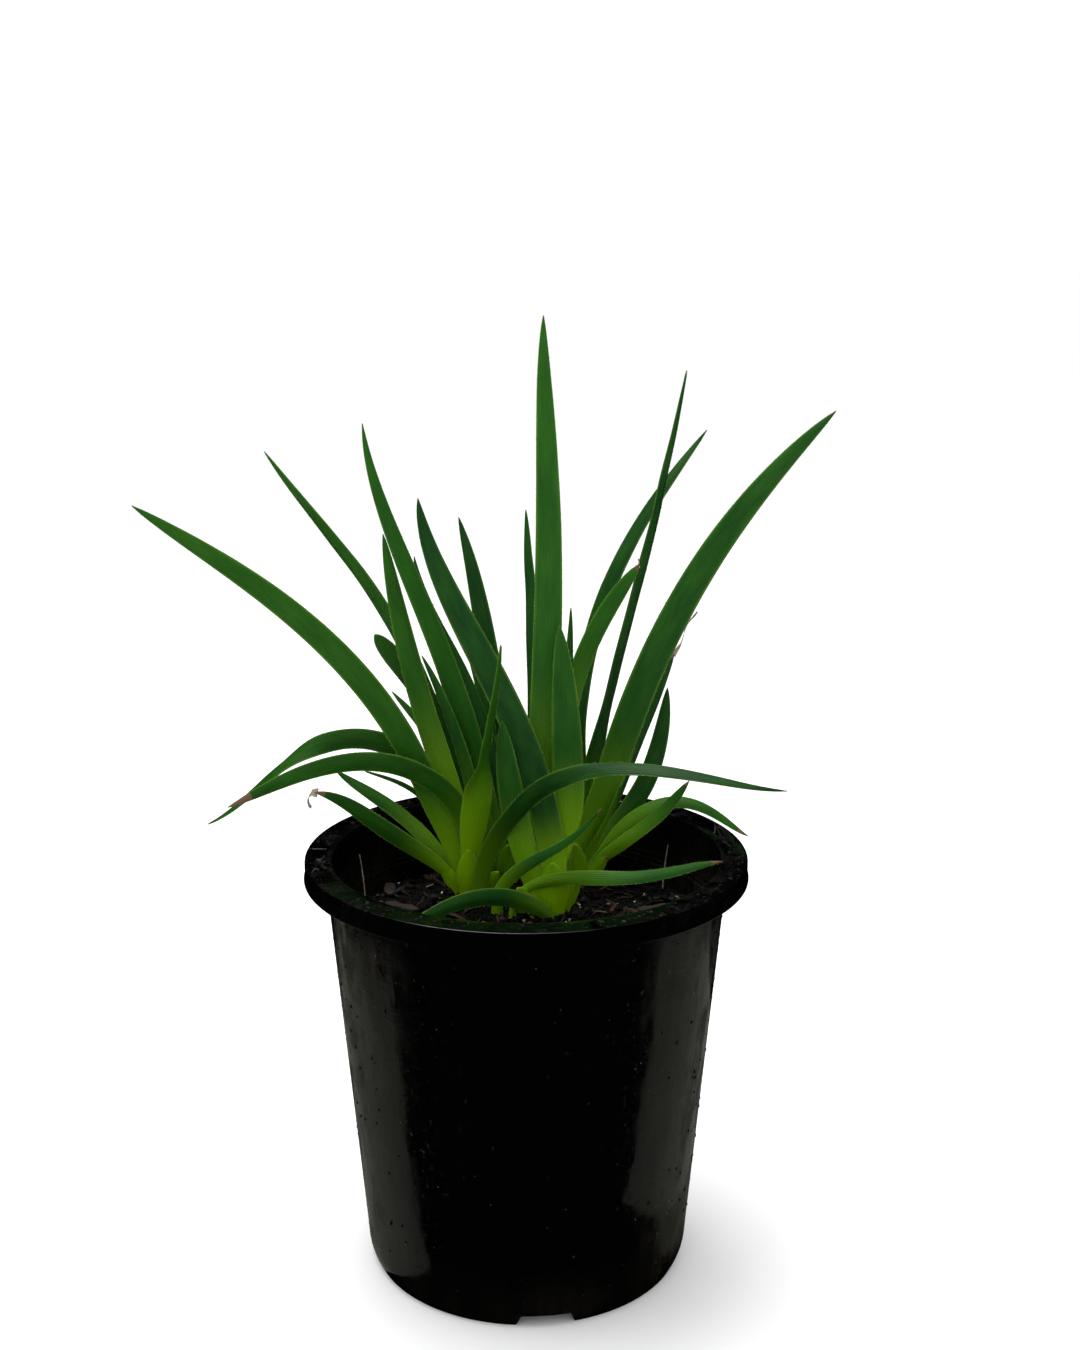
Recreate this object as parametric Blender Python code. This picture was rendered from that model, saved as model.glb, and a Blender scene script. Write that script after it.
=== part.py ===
"""A kangaroo paw plant in a black nursery pot, standing on the ground.

Metres, +Z up. The origin is on the pot's axis, in the plane of the ground. The plant's leaves
rise in four shoots from one short rhizome, which is seated in the potting mix. Each leaf is a
thin blade swept along a smooth centre line, and stands on the rhizome on its own foot.
"""

import math
from typing import NamedTuple

import bmesh
import bpy
import numpy as np

# All the sizes below are in millimetres and degrees
MM = 0.001

# Pot
POT_HEIGHT = 195
RIM_RADIUS = 100
RIM_SKIRT = 9
RIM_REACH = 9.3
WALL = 1.6
WALL_TAPER = 15.7
FOOT_CORNER = 12
FOOT_DRAW_IN = 3.4
LIP_OVERHANG = 1.2
FLOOR_LIFT = 6
PAD_RADIUS = 12
POT_SIDES = 60

# Drainage: notches through the foot, and holes through the floor
NOTCHES = 4
NOTCH_ANGLE = 277
NOTCH_WIDTH = 25
NOTCH_SLOPE = 1.5
NOTCH_HEADROOM = 0.4
FLOOR_HOLES = 8
FLOOR_HOLE_RADIUS = 5
FLOOR_HOLE_CIRCLE = 48

# Hanger recesses, sunk into the flat top of the rim on opposite sides
RECESSES = 2
RECESS_ANGLE = 11.5
RECESS_ARC = 27
RECESS_DEPTH = 5
RECESS_WALL = 1.2

# Grip rings inside the wall, just above the potting mix
RINGS = 3
RING_ABOVE_MIX = 8
RING_PITCH = 2.6
RING_HEIGHT = 0.5

# Potting mix
CLEARANCE = 0.3
MIX_BELOW_RIM = 36
MIX_RISE = 3
MIX_LUMPS = 1.0
MIX_SIDES = 40
MIX_RINGS = 7

# Rhizome: one core and a lobe for each shoot, as (centre x, y), (half length in x, y)
STUB_ABOVE_MIX = 4
STUB_DEPTH = 20
STUB_ROUND = 1
STUB_SIDES = 48
CORE = ((2, 38), (26, 20))
STUBS = {
    "left": ((-29, 39), (16, 21)),
    "back": ((-5, 55), (17, 13)),
    "centre": ((7, 16), (20, 22)),
    "right": ((29, 54), (17, 20)),
}

# Leaf blades
LEAF_THICKNESS = 1.2
LEAF_EDGE = 0.4
LEAF_TIP = 0.8
LEAF_STATIONS = 13
LEAF_FACING = 270
FOOT_SHARE = 0.75
FILL_OUT = 0.35


class Leaf(NamedTuple):
    """One blade. Headings run counterclockwise from +X, and leans are measured from upright.

    leans: at the foot, one third, two thirds and the tip.
    twist: how far the blade turns about its centre line, and the share of the length at
    which the turn begins and ends.
    taper: the higher, the longer the blade keeps its width before it narrows to the tip.
    past_rim: for a blade that lies across the rim, how far its tip is past the rim's edge
    along its heading. Its length follows from that.
    above_rim: for a blade close above the rim, how far its tip is above the rim's top. Its
    rise follows from that.
    """

    foot: tuple
    length: float
    headings: tuple
    leans: tuple
    width: float
    twist: tuple = (0, 0, 1)
    taper: float = 4
    past_rim: float | None = None
    above_rim: float | None = None


LEAVES = {
    "left": (
        Leaf((-16.5, 14), 184.3, (-50, -3), (2, 47.5, 89.5, 92.5), 10, (-45, 0.3, 0.6)),
        Leaf((-29, 26), 130, (-58, -58), (11, 16, 18, 8), 13.5, (70, 0.36, 0.56)),
        Leaf((-38, 29), 82, (200, 190), (24, 47, 50, 80), 9),
        Leaf((-27, 31), 160, (195, 195), (-14, 44, 96, 112), 10),
        Leaf((-34, 34), 241.4, (190, 190), (9, 29, 49, 55), 12.5, (16, 0.2, 0.6)),
        Leaf((-25.5, 37), 172, (180, 140), (7, 18, 15.5, 13), 11.5),
        Leaf((-35, 43), 179, (180, 180), (3, 43, 118, 114), 10.5, (70, 0.55, 0.75)),
        Leaf((-36, 47), 77, (170, 170), (39, 42, 58, 50), 8, (40, 0.15, 0.5), 4, 9.1, 21.6),
        Leaf((-26.5, 50), 130.5, (165, 165), (-4, 12.5, 35, 40), 10, taper=12),
        Leaf((-30, 53), 74, (165, 165), (28, 30, 62, 75), 7, (-50, 0.15, 0.5)),
        Leaf((-25, 56), 232, (158, 158), (14, 21, 39, 38), 11, (-40, 0.1, 0.4)),
        Leaf((-20, 58.5), 101, (155, 155), (6, 24, 42, 48), 8, (50, 0.15, 0.5)),
    ),
    "back": (
        Leaf((-16, 46), 116, (190, 190), (10, 14, 18, 28), 9.5, (-42, 0.2, 0.5)),
        Leaf((-12.5, 50), 227.5, (190, 190), (13, 15, 21.5, 5), 12, (34, 0.2, 0.5), 3),
        Leaf((-9, 53), 162, (178, 172), (12.5, 10.5, 26, 5), 10, (45, 0.2, 0.5)),
        Leaf((-12, 58), 140, (163, 157), (6, 5, 14, 34), 8.5, (45, 0.2, 0.5)),
        Leaf((-6.5, 65), 173.5, (172, 172), (12, 5, 9, 15), 12, (-22, 0.3, 0.7)),
        Leaf((4, 64), 174, (85, 125), (6, 6, 6, 6), 11, (-47, 0.15, 0.4)),
    ),
    "centre": (
        Leaf((8.5, -2), 70, (200, 215), (53, 76, 97, 98), 8.5),
        Leaf((-3, 2), 104, (-18, -18), (8, 82, 76, 78), 7, (-45, 0.25, 0.6), 4, -9.4, 4.7),
        Leaf((-10, 7), 76, (-30, -30), (0, 50, 50, 38), 5.6, (-40, 0.2, 0.6), 2.2),
        Leaf((15, 12), 199, (170, 170), (5, 19, 28, 6), 14),
        Leaf((20, 17), 130, (185, 185), (1, 1, 3, 5), 15),
        Leaf((4, 13), 88, (180, 180), (14, 12, 8, 5), 13),
        Leaf((10, 24), 266.8, (180, 180), (9, -2.5, 1, -0.5), 13.5, (14, 0.3, 0.8)),
        Leaf((18, 30), 134, (75, 75), (4, 4, 4, 4), 9, (52, 0.2, 0.5)),
    ),
    "right": (
        Leaf((28, 42), 52, (-5, -5), (22, 22, 16, 15), 6, (55, 0.1, 0.5)),
        Leaf((26.5, 46), 255.3, (-8, -8), (14, 19, 32, 46), 14.5, (-16, 0.2, 0.6)),
        Leaf((36, 49), 65, (-12, -12), (36, 43, 40, 34), 8, (-40, 0.15, 0.5)),
        Leaf((36, 52.5), 92, (-8, -8), (48, 38, 103, 116), 7, (-45, 0.15, 0.5), 4, 15.8, -6.4),
        Leaf((35, 56), 97, (10, 10), (27, 28, 15, 4), 10),
        Leaf((32.5, 59.5), 113, (8, 8), (14, 19, 22, 22), 10, (37, 0.15, 0.5)),
        Leaf((20, 53), 160, (-5, -5), (1, 0, 20, 36), 9, taper=12),
        Leaf((25, 63), 246, (-12, -12), (4, 13, 13, 10), 10.5, (58, 0.1, 0.35)),
        Leaf((23, 67), 228, (18, 18), (4, 5, 27, 40), 10.5, (-44, 0.1, 0.35)),
    ),
}

# Loose bark chips on the mix: angle round the pot, gap from the mix's edge to the chip's
# centre, (length, width, thickness), heading
CHIPS = (
    (10, 25.5, (17, 6, 3), 25),
    (-30, 31, (14, 7, 3), 110),
    (168, 27, (20, 7, 3), 150),
    (214, 28.5, (15, 6, 2.5), 40),
    (45, 13, (16, 6, 3), 75),
    (149, 9.5, (16, 5, 2.5), 95),
)
CHIP_TAPER = 0.7

# Dry straws by the wall: angle round the pot, gap from the mix's edge, length, heading, lean
STRAWS = (
    (160, 4.4, 24, 150, 3),
    (34.9, 5.9, 22, 40, 5),
)
STRAW_THICKNESS = 0.9
STRAW_BEND = 8

LEAF_COLOURS = {
    "left": (0.035, 0.16, 0.015, 1),
    "back": (0.02, 0.10, 0.02, 1),
    "centre": (0.07, 0.24, 0.01, 1),
    "right": (0.03, 0.14, 0.012, 1),
}


def clear_scene():
    for obj in list(bpy.data.objects):
        bpy.data.objects.remove(obj)


def material(name, colour, roughness):
    """A Principled material with one colour, not metallic."""
    made = bpy.data.materials.new(name)
    made.use_nodes = True
    shader = made.node_tree.nodes["Principled BSDF"]
    shader.inputs["Base Color"].default_value = colour
    shader.inputs["Roughness"].default_value = roughness
    shader.inputs["Metallic"].default_value = 0
    return made


def add_object(name, points, faces, mat, smooth_angle=40):
    """An object from points in millimetres. Its faces are turned to point out."""
    mesh = bpy.data.meshes.new(name)
    mesh.from_pydata([tuple(float(value) * MM for value in point) for point in points], [], faces)
    shape = bmesh.new()
    shape.from_mesh(mesh)
    bmesh.ops.recalc_face_normals(shape, faces=shape.faces)
    shape.to_mesh(mesh)
    shape.free()
    mesh.shade_smooth()
    mesh.set_sharp_from_angle(angle=math.radians(smooth_angle))
    obj = bpy.data.objects.new(name, mesh)
    bpy.context.scene.collection.objects.link(obj)
    if mat:
        mesh.materials.append(mat)
    return obj


def helper(obj):
    """Marks an object as a cutter or another operand, which is not a piece of the plant."""
    obj.hide_render = True
    obj.display_type = "WIRE"
    return obj


def boolean(obj, other, operation):
    """Adds a live Boolean with the exact solver."""
    change = obj.modifiers.new(operation.title(), "BOOLEAN")
    change.operation = operation
    change.solver = "EXACT"
    change.object = other


def strip_faces(rings, sides):
    """Quads between each pair of neighbouring rings of points, numbered ring by ring."""
    faces = []
    for ring in range(rings - 1):
        for side in range(sides):
            here = ring * sides + side
            across = ring * sides + (side + 1) % sides
            faces.append((here, across, across + sides, here + sides))
    return faces


def loft(rings):
    """Points and faces of the closed skin over a list of rings, with flat ends."""
    sides = len(rings[0])
    points = [point for ring in rings for point in ring]
    last = (len(rings) - 1) * sides
    faces = strip_faces(len(rings), sides)
    faces.append(tuple(range(sides)))
    faces.append(tuple(range(last, last + sides)))
    return points, faces


def merged(shapes):
    """One list of points and one of faces from several (points, faces) pairs."""
    points = []
    faces = []
    for more_points, more_faces in shapes:
        start = len(points)
        points.extend(more_points)
        faces.extend(tuple(start + index for index in face) for face in more_faces)
    return points, faces


def turned(profile, sides):
    """The solid of revolution of a (radius, height) profile whose two ends are on the axis."""
    angles = [math.radians(360 * side / sides) for side in range(sides)]
    points = [
        (radius * math.cos(angle), radius * math.sin(angle), height)
        for radius, height in profile[1:-1]
        for angle in angles
    ]
    faces = strip_faces(len(profile) - 2, sides)
    first_centre = len(points)
    points.append((0, 0, profile[0][1]))
    points.append((0, 0, profile[-1][1]))
    last_ring = (len(profile) - 3) * sides
    for side in range(sides):
        after = (side + 1) % sides
        faces.append((side, after, first_centre))
        faces.append((last_ring + side, last_ring + after, first_centre + 1))
    return points, faces


def ring_sector(inner, outer, bottom, top, centre, arc, steps=8):
    """A block bent round the pot's axis, between two radii and two heights."""
    angles = [math.radians(centre + arc * (step / steps - 0.5)) for step in range(steps + 1)]
    section = ((inner, bottom), (outer, bottom), (outer, top), (inner, top))
    rings = [
        [(radius * math.cos(angle), radius * math.sin(angle), height) for radius, height in section]
        for angle in angles
    ]
    return loft(rings)


def rhizome_reach(angle, grow):
    """How far the outermost lobe goes from the core's centre, along one direction.

    A lobe is a rounded rectangle, |x/a|^3 + |y/b|^3 < 1 about its own centre.
    """
    distances = np.arange(0, 2 * POT_HEIGHT, 0.05)
    x = CORE[0][0] + distances * math.cos(angle)
    y = CORE[0][1] + distances * math.sin(angle)
    inside = np.zeros(len(distances), bool)
    for centre, half in (CORE, *STUBS.values()):
        inside |= (abs((x - centre[0]) / half[0]) ** 3 + abs((y - centre[1]) / half[1]) ** 3) < 1
    return distances[inside].max() + grow


def rhizome_ring(height, grow):
    ring = []
    for side in range(STUB_SIDES):
        angle = math.radians(360 * side / STUB_SIDES)
        reach = rhizome_reach(angle, grow)
        ring.append((CORE[0][0] + reach * math.cos(angle), CORE[0][1] + reach * math.sin(angle), height))
    return ring


def foot_radius():
    """The wall's outer radius above the foot's corner: the rim's, less its reach and the taper."""
    return RIM_RADIUS - RIM_REACH - WALL_TAPER


def wall_outside(height):
    """The wall's outer radius at a height: a straight taper above the foot's corner."""
    rise = POT_HEIGHT - RIM_SKIRT - FOOT_CORNER
    return foot_radius() + WALL_TAPER / rise * (height - FOOT_CORNER)


def wall_inside(height):
    return wall_outside(height) - WALL


def mix_radius():
    """The radius that the potting mix fills at its surface."""
    return wall_inside(mix_edge_height()) - CLEARANCE


def near_wall(angle, gap):
    """The point on the potting mix at an angle round the pot, a gap in from the mix's edge."""
    radius = mix_radius() - gap
    return radius * math.cos(math.radians(angle)), radius * math.sin(math.radians(angle))


def mix_edge_height():
    return POT_HEIGHT - MIX_BELOW_RIM


def stub_top():
    return mix_edge_height() + MIX_RISE + STUB_ABOVE_MIX


def floor_top():
    return FLOOR_LIFT + WALL


def pot_profile():
    """The pot's half section, from the axis along the inside, over the rim and down outside."""
    skirt_foot = POT_HEIGHT - RIM_SKIRT
    land_under = POT_HEIGHT - WALL
    lip = wall_inside(skirt_foot) - LIP_OVERHANG
    profile = [(0, floor_top()), (wall_inside(FOOT_CORNER) - WALL, floor_top())]
    profile.append((wall_inside(FOOT_CORNER), FOOT_CORNER))
    ring_base = mix_edge_height() + RING_ABOVE_MIX
    for ring in range(RINGS):
        middle = ring_base + ring * RING_PITCH
        radius = wall_inside(middle)
        profile.append((radius, middle - RING_HEIGHT))
        profile.append((radius - RING_HEIGHT, middle))
        profile.append((radius, middle + RING_HEIGHT))
    profile += [
        (wall_inside(skirt_foot), skirt_foot),
        (lip, land_under),
        (lip + 0.4, POT_HEIGHT - 0.4),
        (lip + 1.4, POT_HEIGHT),
        (RIM_RADIUS - 1.4, POT_HEIGHT),
        (RIM_RADIUS - 0.4, POT_HEIGHT - 0.4),
        (RIM_RADIUS, POT_HEIGHT - 1.4),
        (RIM_RADIUS, skirt_foot + 0.5),
        (RIM_RADIUS - 0.5, skirt_foot),
        (RIM_RADIUS - WALL, skirt_foot),
        (RIM_RADIUS - WALL, land_under),
        (wall_outside(land_under), land_under),
        (wall_outside(FOOT_CORNER), FOOT_CORNER),
    ]
    for share in (0.35, 0.7, 1.0):
        drawn_in = FOOT_DRAW_IN * share**2
        profile.append((foot_radius() - drawn_in, FOOT_CORNER * (1 - share)))
    foot_inside = foot_radius() - FOOT_DRAW_IN - WALL
    profile += [
        (foot_inside, 0),
        (foot_inside, FLOOR_LIFT),
        (PAD_RADIUS + WALL, FLOOR_LIFT),
        (PAD_RADIUS, 0),
        (0, 0),
    ]
    return profile


def notch(angle):
    """A wedge through the foot: wide at the ground, narrower at its top."""
    direction = (math.cos(math.radians(angle)), math.sin(math.radians(angle)))
    top = FLOOR_LIFT - NOTCH_HEADROOM
    section = (
        (-NOTCH_WIDTH / 2 - NOTCH_SLOPE, -top),
        (NOTCH_WIDTH / 2 + NOTCH_SLOPE, -top),
        (NOTCH_WIDTH / 2 - NOTCH_SLOPE, top),
        (-NOTCH_WIDTH / 2 + NOTCH_SLOPE, top),
    )
    rings = []
    for radius in (foot_radius() - 4 * WALL - FOOT_DRAW_IN, foot_radius() + WALL):
        ring = []
        for sideways, height in section:
            x = radius * direction[0] - sideways * direction[1]
            y = radius * direction[1] + sideways * direction[0]
            ring.append((x, y, height))
        rings.append(ring)
    return loft(rings)


def floor_hole(angle):
    centre_x = FLOOR_HOLE_CIRCLE * math.cos(math.radians(angle))
    centre_y = FLOOR_HOLE_CIRCLE * math.sin(math.radians(angle))
    rings = []
    for height in (FLOOR_LIFT - WALL, floor_top() + WALL):
        ring = []
        for side in range(12):
            turn = math.radians(30 * side)
            x = centre_x + FLOOR_HOLE_RADIUS * math.cos(turn)
            y = centre_y + FLOOR_HOLE_RADIUS * math.sin(turn)
            ring.append((x, y, height))
        rings.append(ring)
    return loft(rings)


def make_pot():
    """The turned shell, with the recess boxes added and then everything open cut away."""
    black = material("black_plastic", (0.006, 0.006, 0.006, 1), 0.3)
    pot = add_object("pot", *turned(pot_profile(), POT_SIDES), black)

    inner = wall_outside(POT_HEIGHT - WALL)
    outer = RIM_RADIUS - RECESS_WALL
    floor = POT_HEIGHT - RECESS_DEPTH
    sunk = WALL / 2
    box_arc = RECESS_ARC + 2 * math.degrees(WALL / RIM_RADIUS)
    recess_angles = [RECESS_ANGLE + 360 * count / RECESSES for count in range(RECESSES)]
    boxes = [
        ring_sector(inner - sunk, RIM_RADIUS - sunk, floor - WALL, POT_HEIGHT - sunk, angle, box_arc)
        for angle in recess_angles
    ]
    boolean(pot, helper(add_object("recess_boxes", *merged(boxes), None)), "UNION")

    cuts = [
        ring_sector(inner, outer, floor, POT_HEIGHT + WALL, angle, RECESS_ARC)
        for angle in recess_angles
    ]
    cuts += [notch(NOTCH_ANGLE + 360 * count / NOTCHES) for count in range(NOTCHES)]
    cuts += [floor_hole(360 * (count + 0.5) / FLOOR_HOLES) for count in range(FLOOR_HOLES)]
    boolean(pot, helper(add_object("pot_cuts", *merged(cuts), None)), "DIFFERENCE")


def rhizome_shape(grow, above):
    """The lobed plug that the shoots stand on, grown sideways and downwards by a clearance."""
    top = stub_top()
    return loft(
        [
            rhizome_ring(top - STUB_DEPTH - grow, grow - STUB_DEPTH / 4),
            rhizome_ring(top - STUB_DEPTH / 2, grow),
            rhizome_ring(top - STUB_ROUND, grow),
            rhizome_ring(top + above, grow - STUB_ROUND if not above else grow),
        ]
    )


def make_rhizome():
    straw = material("rhizome", (0.24, 0.28, 0.06, 1), 0.7)
    add_object("rhizome", *rhizome_shape(0, 0), straw)


def mix_height(radius, edge, noise):
    """The mix's surface: it rises towards the plant and is lumpy away from the wall."""
    share = min(radius / edge, 1)
    return mix_edge_height() + MIX_RISE * (1 - share**2) + MIX_LUMPS * noise * (1 - share**6)


def make_potting_mix():
    """A plug that fills the pot with a clearance, with a pocket for the rhizome."""
    bark = material("potting_mix", (0.012, 0.009, 0.007, 1), 0.95)
    chance = np.random.default_rng(7)
    edge = mix_radius()
    corner = wall_inside(FOOT_CORNER) - CLEARANCE
    turns = [math.radians(360 * side / MIX_SIDES) for side in range(MIX_SIDES)]
    points = []
    for radius, height in ((corner - WALL, floor_top() + CLEARANCE), (corner, FOOT_CORNER)):
        points += [(radius * math.cos(turn), radius * math.sin(turn), height) for turn in turns]
    for count in range(MIX_RINGS):
        radius = edge * (1 - count / MIX_RINGS)
        for turn in turns:
            height = mix_height(radius, edge, chance.uniform(-1, 1))
            points.append((radius * math.cos(turn), radius * math.sin(turn), height))
    faces = strip_faces(MIX_RINGS + 2, MIX_SIDES)
    faces.append(tuple(range(MIX_SIDES)))
    top_centre = len(points)
    points.append((0, 0, mix_height(0, edge, 0)))
    last_ring = top_centre - MIX_SIDES
    for side in range(MIX_SIDES):
        faces.append((last_ring + side, last_ring + (side + 1) % MIX_SIDES, top_centre))
    mix = add_object("potting_mix", points, faces, bark)
    pocket = add_object("pocket", *rhizome_shape(CLEARANCE, STUB_ABOVE_MIX), None)
    boolean(mix, helper(pocket), "DIFFERENCE")


def mix_crest(x, y):
    """A height that the lumpy mix does not reach at this point."""
    return mix_height(math.hypot(x, y), mix_radius(), 1) + MIX_LUMPS


def make_chips():
    """Split bark: flat wedges with one end narrower, lying on the mix."""
    brown = material("bark", (0.05, 0.025, 0.014, 1), 0.9)
    for number, (angle, gap, size, heading) in enumerate(CHIPS, 1):
        centre = near_wall(angle, gap)
        length, width, thickness = size
        turn = math.radians(heading)
        foot = mix_crest(*centre) + CLEARANCE
        rings = []
        for along, share in ((-0.5, CHIP_TAPER), (-0.35, 1), (0.3, 1), (0.5, CHIP_TAPER / 2)):
            ring = []
            for across, up in ((-0.5, 0), (0.5, 0), (0.35, 1), (-0.3, 0.9)):
                forward = along * length
                sideways = across * width * share
                x = centre[0] + forward * math.cos(turn) - sideways * math.sin(turn)
                y = centre[1] + forward * math.sin(turn) + sideways * math.cos(turn)
                ring.append((x, y, foot + up * thickness * share))
            rings.append(ring)
        add_object(f"bark_chip_{number}", *loft(rings), brown, 20)


def make_straws():
    """Thin four-sided stalks that stand in the mix close to the wall and bend outwards."""
    pale = material("straw", (0.45, 0.40, 0.24, 1), 0.8)
    for number, (angle, gap, length, heading, lean) in enumerate(STRAWS, 1):
        turn = math.radians(heading)
        x, y = near_wall(angle, gap)
        height = mix_crest(x, y) + CLEARANCE
        outwards = 0
        rings = []
        steps = 6
        for step in range(steps + 1):
            half = STRAW_THICKNESS / 2 * (1 - 0.5 * step / steps)
            centre_x = x + outwards * math.cos(turn)
            centre_y = y + outwards * math.sin(turn)
            corners = ((half, 0), (0, half), (-half, 0), (0, -half))
            rings.append([(centre_x + east, centre_y + north, height) for east, north in corners])
            tilt = math.radians(lean + STRAW_BEND * step / steps)
            outwards += length / steps * math.sin(tilt)
            height += length / steps * math.cos(tilt)
        add_object(f"straw_{number}", *loft(rings), pale)


def smooth_step(value):
    value = min(max(value, 0), 1)
    return value * value * (3 - 2 * value)


def distance_to_rim(leaf):
    """From the blade's foot along its first heading to the rim's outer edge."""
    turn = math.radians(leaf.headings[0])
    x, y = leaf.foot
    along = x * math.cos(turn) + y * math.sin(turn)
    sideways = y * math.cos(turn) - x * math.sin(turn)
    return math.sqrt(RIM_RADIUS**2 - sideways**2) - along


def leaf_stations(leaf):
    """Centre line points and their tangents, by adding up short steps along the lean and heading."""
    steps = 8
    count = (LEAF_STATIONS - 1) * steps
    shares = (np.arange(count) + 0.5) / count
    curve = np.polyfit(np.linspace(0, 1, len(leaf.leans)), leaf.leans, len(leaf.leans) - 1)
    leans = np.radians(np.polyval(curve, shares))
    headings = np.radians(leaf.headings[0] + (leaf.headings[1] - leaf.headings[0]) * shares)
    tangents = np.stack(
        [np.sin(leans) * np.cos(headings), np.sin(leans) * np.sin(headings), np.cos(leans)], axis=1
    )
    foot = np.array([leaf.foot[0], leaf.foot[1], stub_top() + CLEARANCE])
    length = leaf.length
    if leaf.past_rim is not None:
        length = (distance_to_rim(leaf) + leaf.past_rim) / np.sin(leans).mean()
    if leaf.above_rim is not None:
        rise = POT_HEIGHT + leaf.above_rim - foot[2]
        tangents[:, 2] *= rise / (length * np.cos(leans).mean())
    steps_taken = np.cumsum(tangents * length / count, axis=0)
    tangents /= np.linalg.norm(tangents, axis=1, keepdims=True)
    line = np.vstack([foot, foot + steps_taken])[::steps]
    at_stations = np.vstack([tangents[:1], tangents])[::steps]
    return line, at_stations


def blade_width(leaf, share):
    """Fills out from the foot, then narrows: W (1 - s^taper)^0.7, down to a blunt point."""
    filled = FOOT_SHARE + (1 - FOOT_SHARE) * math.sin(math.pi / 2 * min(share / FILL_OUT, 1))
    return max(leaf.width * filled * (1 - share**leaf.taper) ** 0.7, LEAF_TIP)


def leaf_shape(leaf):
    """Rings of six points round the centre line: thin at both edges and thicker along the middle."""
    line, tangents = leaf_stations(leaf)
    facing = np.array([math.cos(math.radians(LEAF_FACING)), math.sin(math.radians(LEAF_FACING)), 0])
    turn, begins, ends = leaf.twist
    rings = []
    for station, (point, tangent) in enumerate(zip(line, tangents)):
        share = station / (LEAF_STATIONS - 1)
        normal = facing - tangent * facing.dot(tangent)
        normal /= np.linalg.norm(normal)
        side = np.cross(tangent, normal)
        angle = math.radians(turn * smooth_step((share - begins) / (ends - begins)))
        normal, side = (
            normal * math.cos(angle) + side * math.sin(angle),
            side * math.cos(angle) - normal * math.sin(angle),
        )
        half = blade_width(leaf, share) / 2
        middle = LEAF_THICKNESS / 2 * min(1, 2 * half / LEAF_THICKNESS)
        edge = min(LEAF_EDGE / 2, middle)
        section = ((-1, edge), (0, middle), (1, edge), (1, -edge), (0, -middle), (-1, -edge))
        rings.append([tuple(point + side * half * across + normal * up) for across, up in section])
    rings[0] = [(x, y, stub_top() + CLEARANCE) for x, y, _ in rings[0]]
    return loft(rings)


def make_leaves():
    for shoot, leaves in LEAVES.items():
        green = material("leaf_" + shoot, LEAF_COLOURS[shoot], 0.45)
        for number, leaf in enumerate(leaves, 1):
            add_object(f"leaf_{shoot}_{number}", *leaf_shape(leaf), green)


clear_scene()
make_pot()
make_rhizome()
make_potting_mix()
make_chips()
make_straws()
make_leaves()
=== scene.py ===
# %% [markdown]
# # A kangaroo paw in its nursery pot
# A young kangaroo paw: four shoots of strap leaves that rise from one short rootstock, in a
# black moulded pot of bark mix. The model that the simulator uses is loaded first and stays as
# it is. Each piece below is then worked out as a surface in numpy, in the same frame, and takes
# the place of one or more of those simple solids.

# %% Load the simulator's model
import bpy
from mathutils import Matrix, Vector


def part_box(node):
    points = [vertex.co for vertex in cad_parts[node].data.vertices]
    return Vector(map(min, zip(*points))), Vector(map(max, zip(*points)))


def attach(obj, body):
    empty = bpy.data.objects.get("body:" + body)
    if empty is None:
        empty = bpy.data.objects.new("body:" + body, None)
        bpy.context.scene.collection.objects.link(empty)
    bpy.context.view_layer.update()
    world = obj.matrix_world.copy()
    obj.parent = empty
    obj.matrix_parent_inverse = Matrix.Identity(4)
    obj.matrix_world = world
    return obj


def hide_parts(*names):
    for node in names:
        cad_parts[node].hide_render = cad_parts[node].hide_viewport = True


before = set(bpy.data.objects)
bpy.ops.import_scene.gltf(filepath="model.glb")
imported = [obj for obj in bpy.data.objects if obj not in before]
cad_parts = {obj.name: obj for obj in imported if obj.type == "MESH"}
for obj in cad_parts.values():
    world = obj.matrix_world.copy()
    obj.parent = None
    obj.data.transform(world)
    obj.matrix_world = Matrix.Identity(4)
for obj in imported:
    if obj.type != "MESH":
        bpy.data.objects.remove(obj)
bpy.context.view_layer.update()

# %% [markdown]
# ## The camera
# The plant is looked at from a little above the leaves, from about three quarters of a metre,
# with a lens of ordinary length. The camera comes first, so that every later cell can be
# looked at by itself.

# %% Camera
import math

import bpy
import numpy as np

MM = 0.001
scene = bpy.context.scene
camera_data = bpy.data.cameras.new("camera")
camera_data.lens = 48.0
camera_data.sensor_width = 36.0
camera = bpy.data.objects.new("camera", camera_data)
camera.location = (6.188 * MM, -775.667 * MM, 464.147 * MM)
camera.rotation_euler = (math.radians(90 - 13.537), 0, 0)
scene.collection.objects.link(camera)
scene.camera = camera
print("camera at", tuple(round(value, 3) for value in camera.location))

# %% [markdown]
# ## Helpers for surfaces
# Most pieces are closed skins: a grid of points whose rows are rings round the shape. Two
# neighbouring rings are joined by four-sided faces, and each end ring is closed by a fan to its
# own middle. The whole mesh is computed as arrays and handed to Blender in a few calls.

# %% Meshes from arrays
def fill_mesh(name, points, corners, sizes):
    """A mesh from points in millimetres, a flat list of face corners, and each face's size."""
    mesh = bpy.data.meshes.new(name)
    mesh.vertices.add(len(points))
    mesh.vertices.foreach_set("co", np.asarray(points, np.float32).ravel() * MM)
    mesh.loops.add(len(corners))
    mesh.loops.foreach_set("vertex_index", np.asarray(corners, np.int32))
    mesh.polygons.add(len(sizes))
    starts = np.concatenate([[0], np.cumsum(sizes)[:-1]])
    mesh.polygons.foreach_set("loop_start", starts.astype(np.int32))
    mesh.polygons.foreach_set("loop_total", np.asarray(sizes, np.int32))
    mesh.update(calc_edges=True)
    mesh.shade_smooth()
    return mesh


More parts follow.
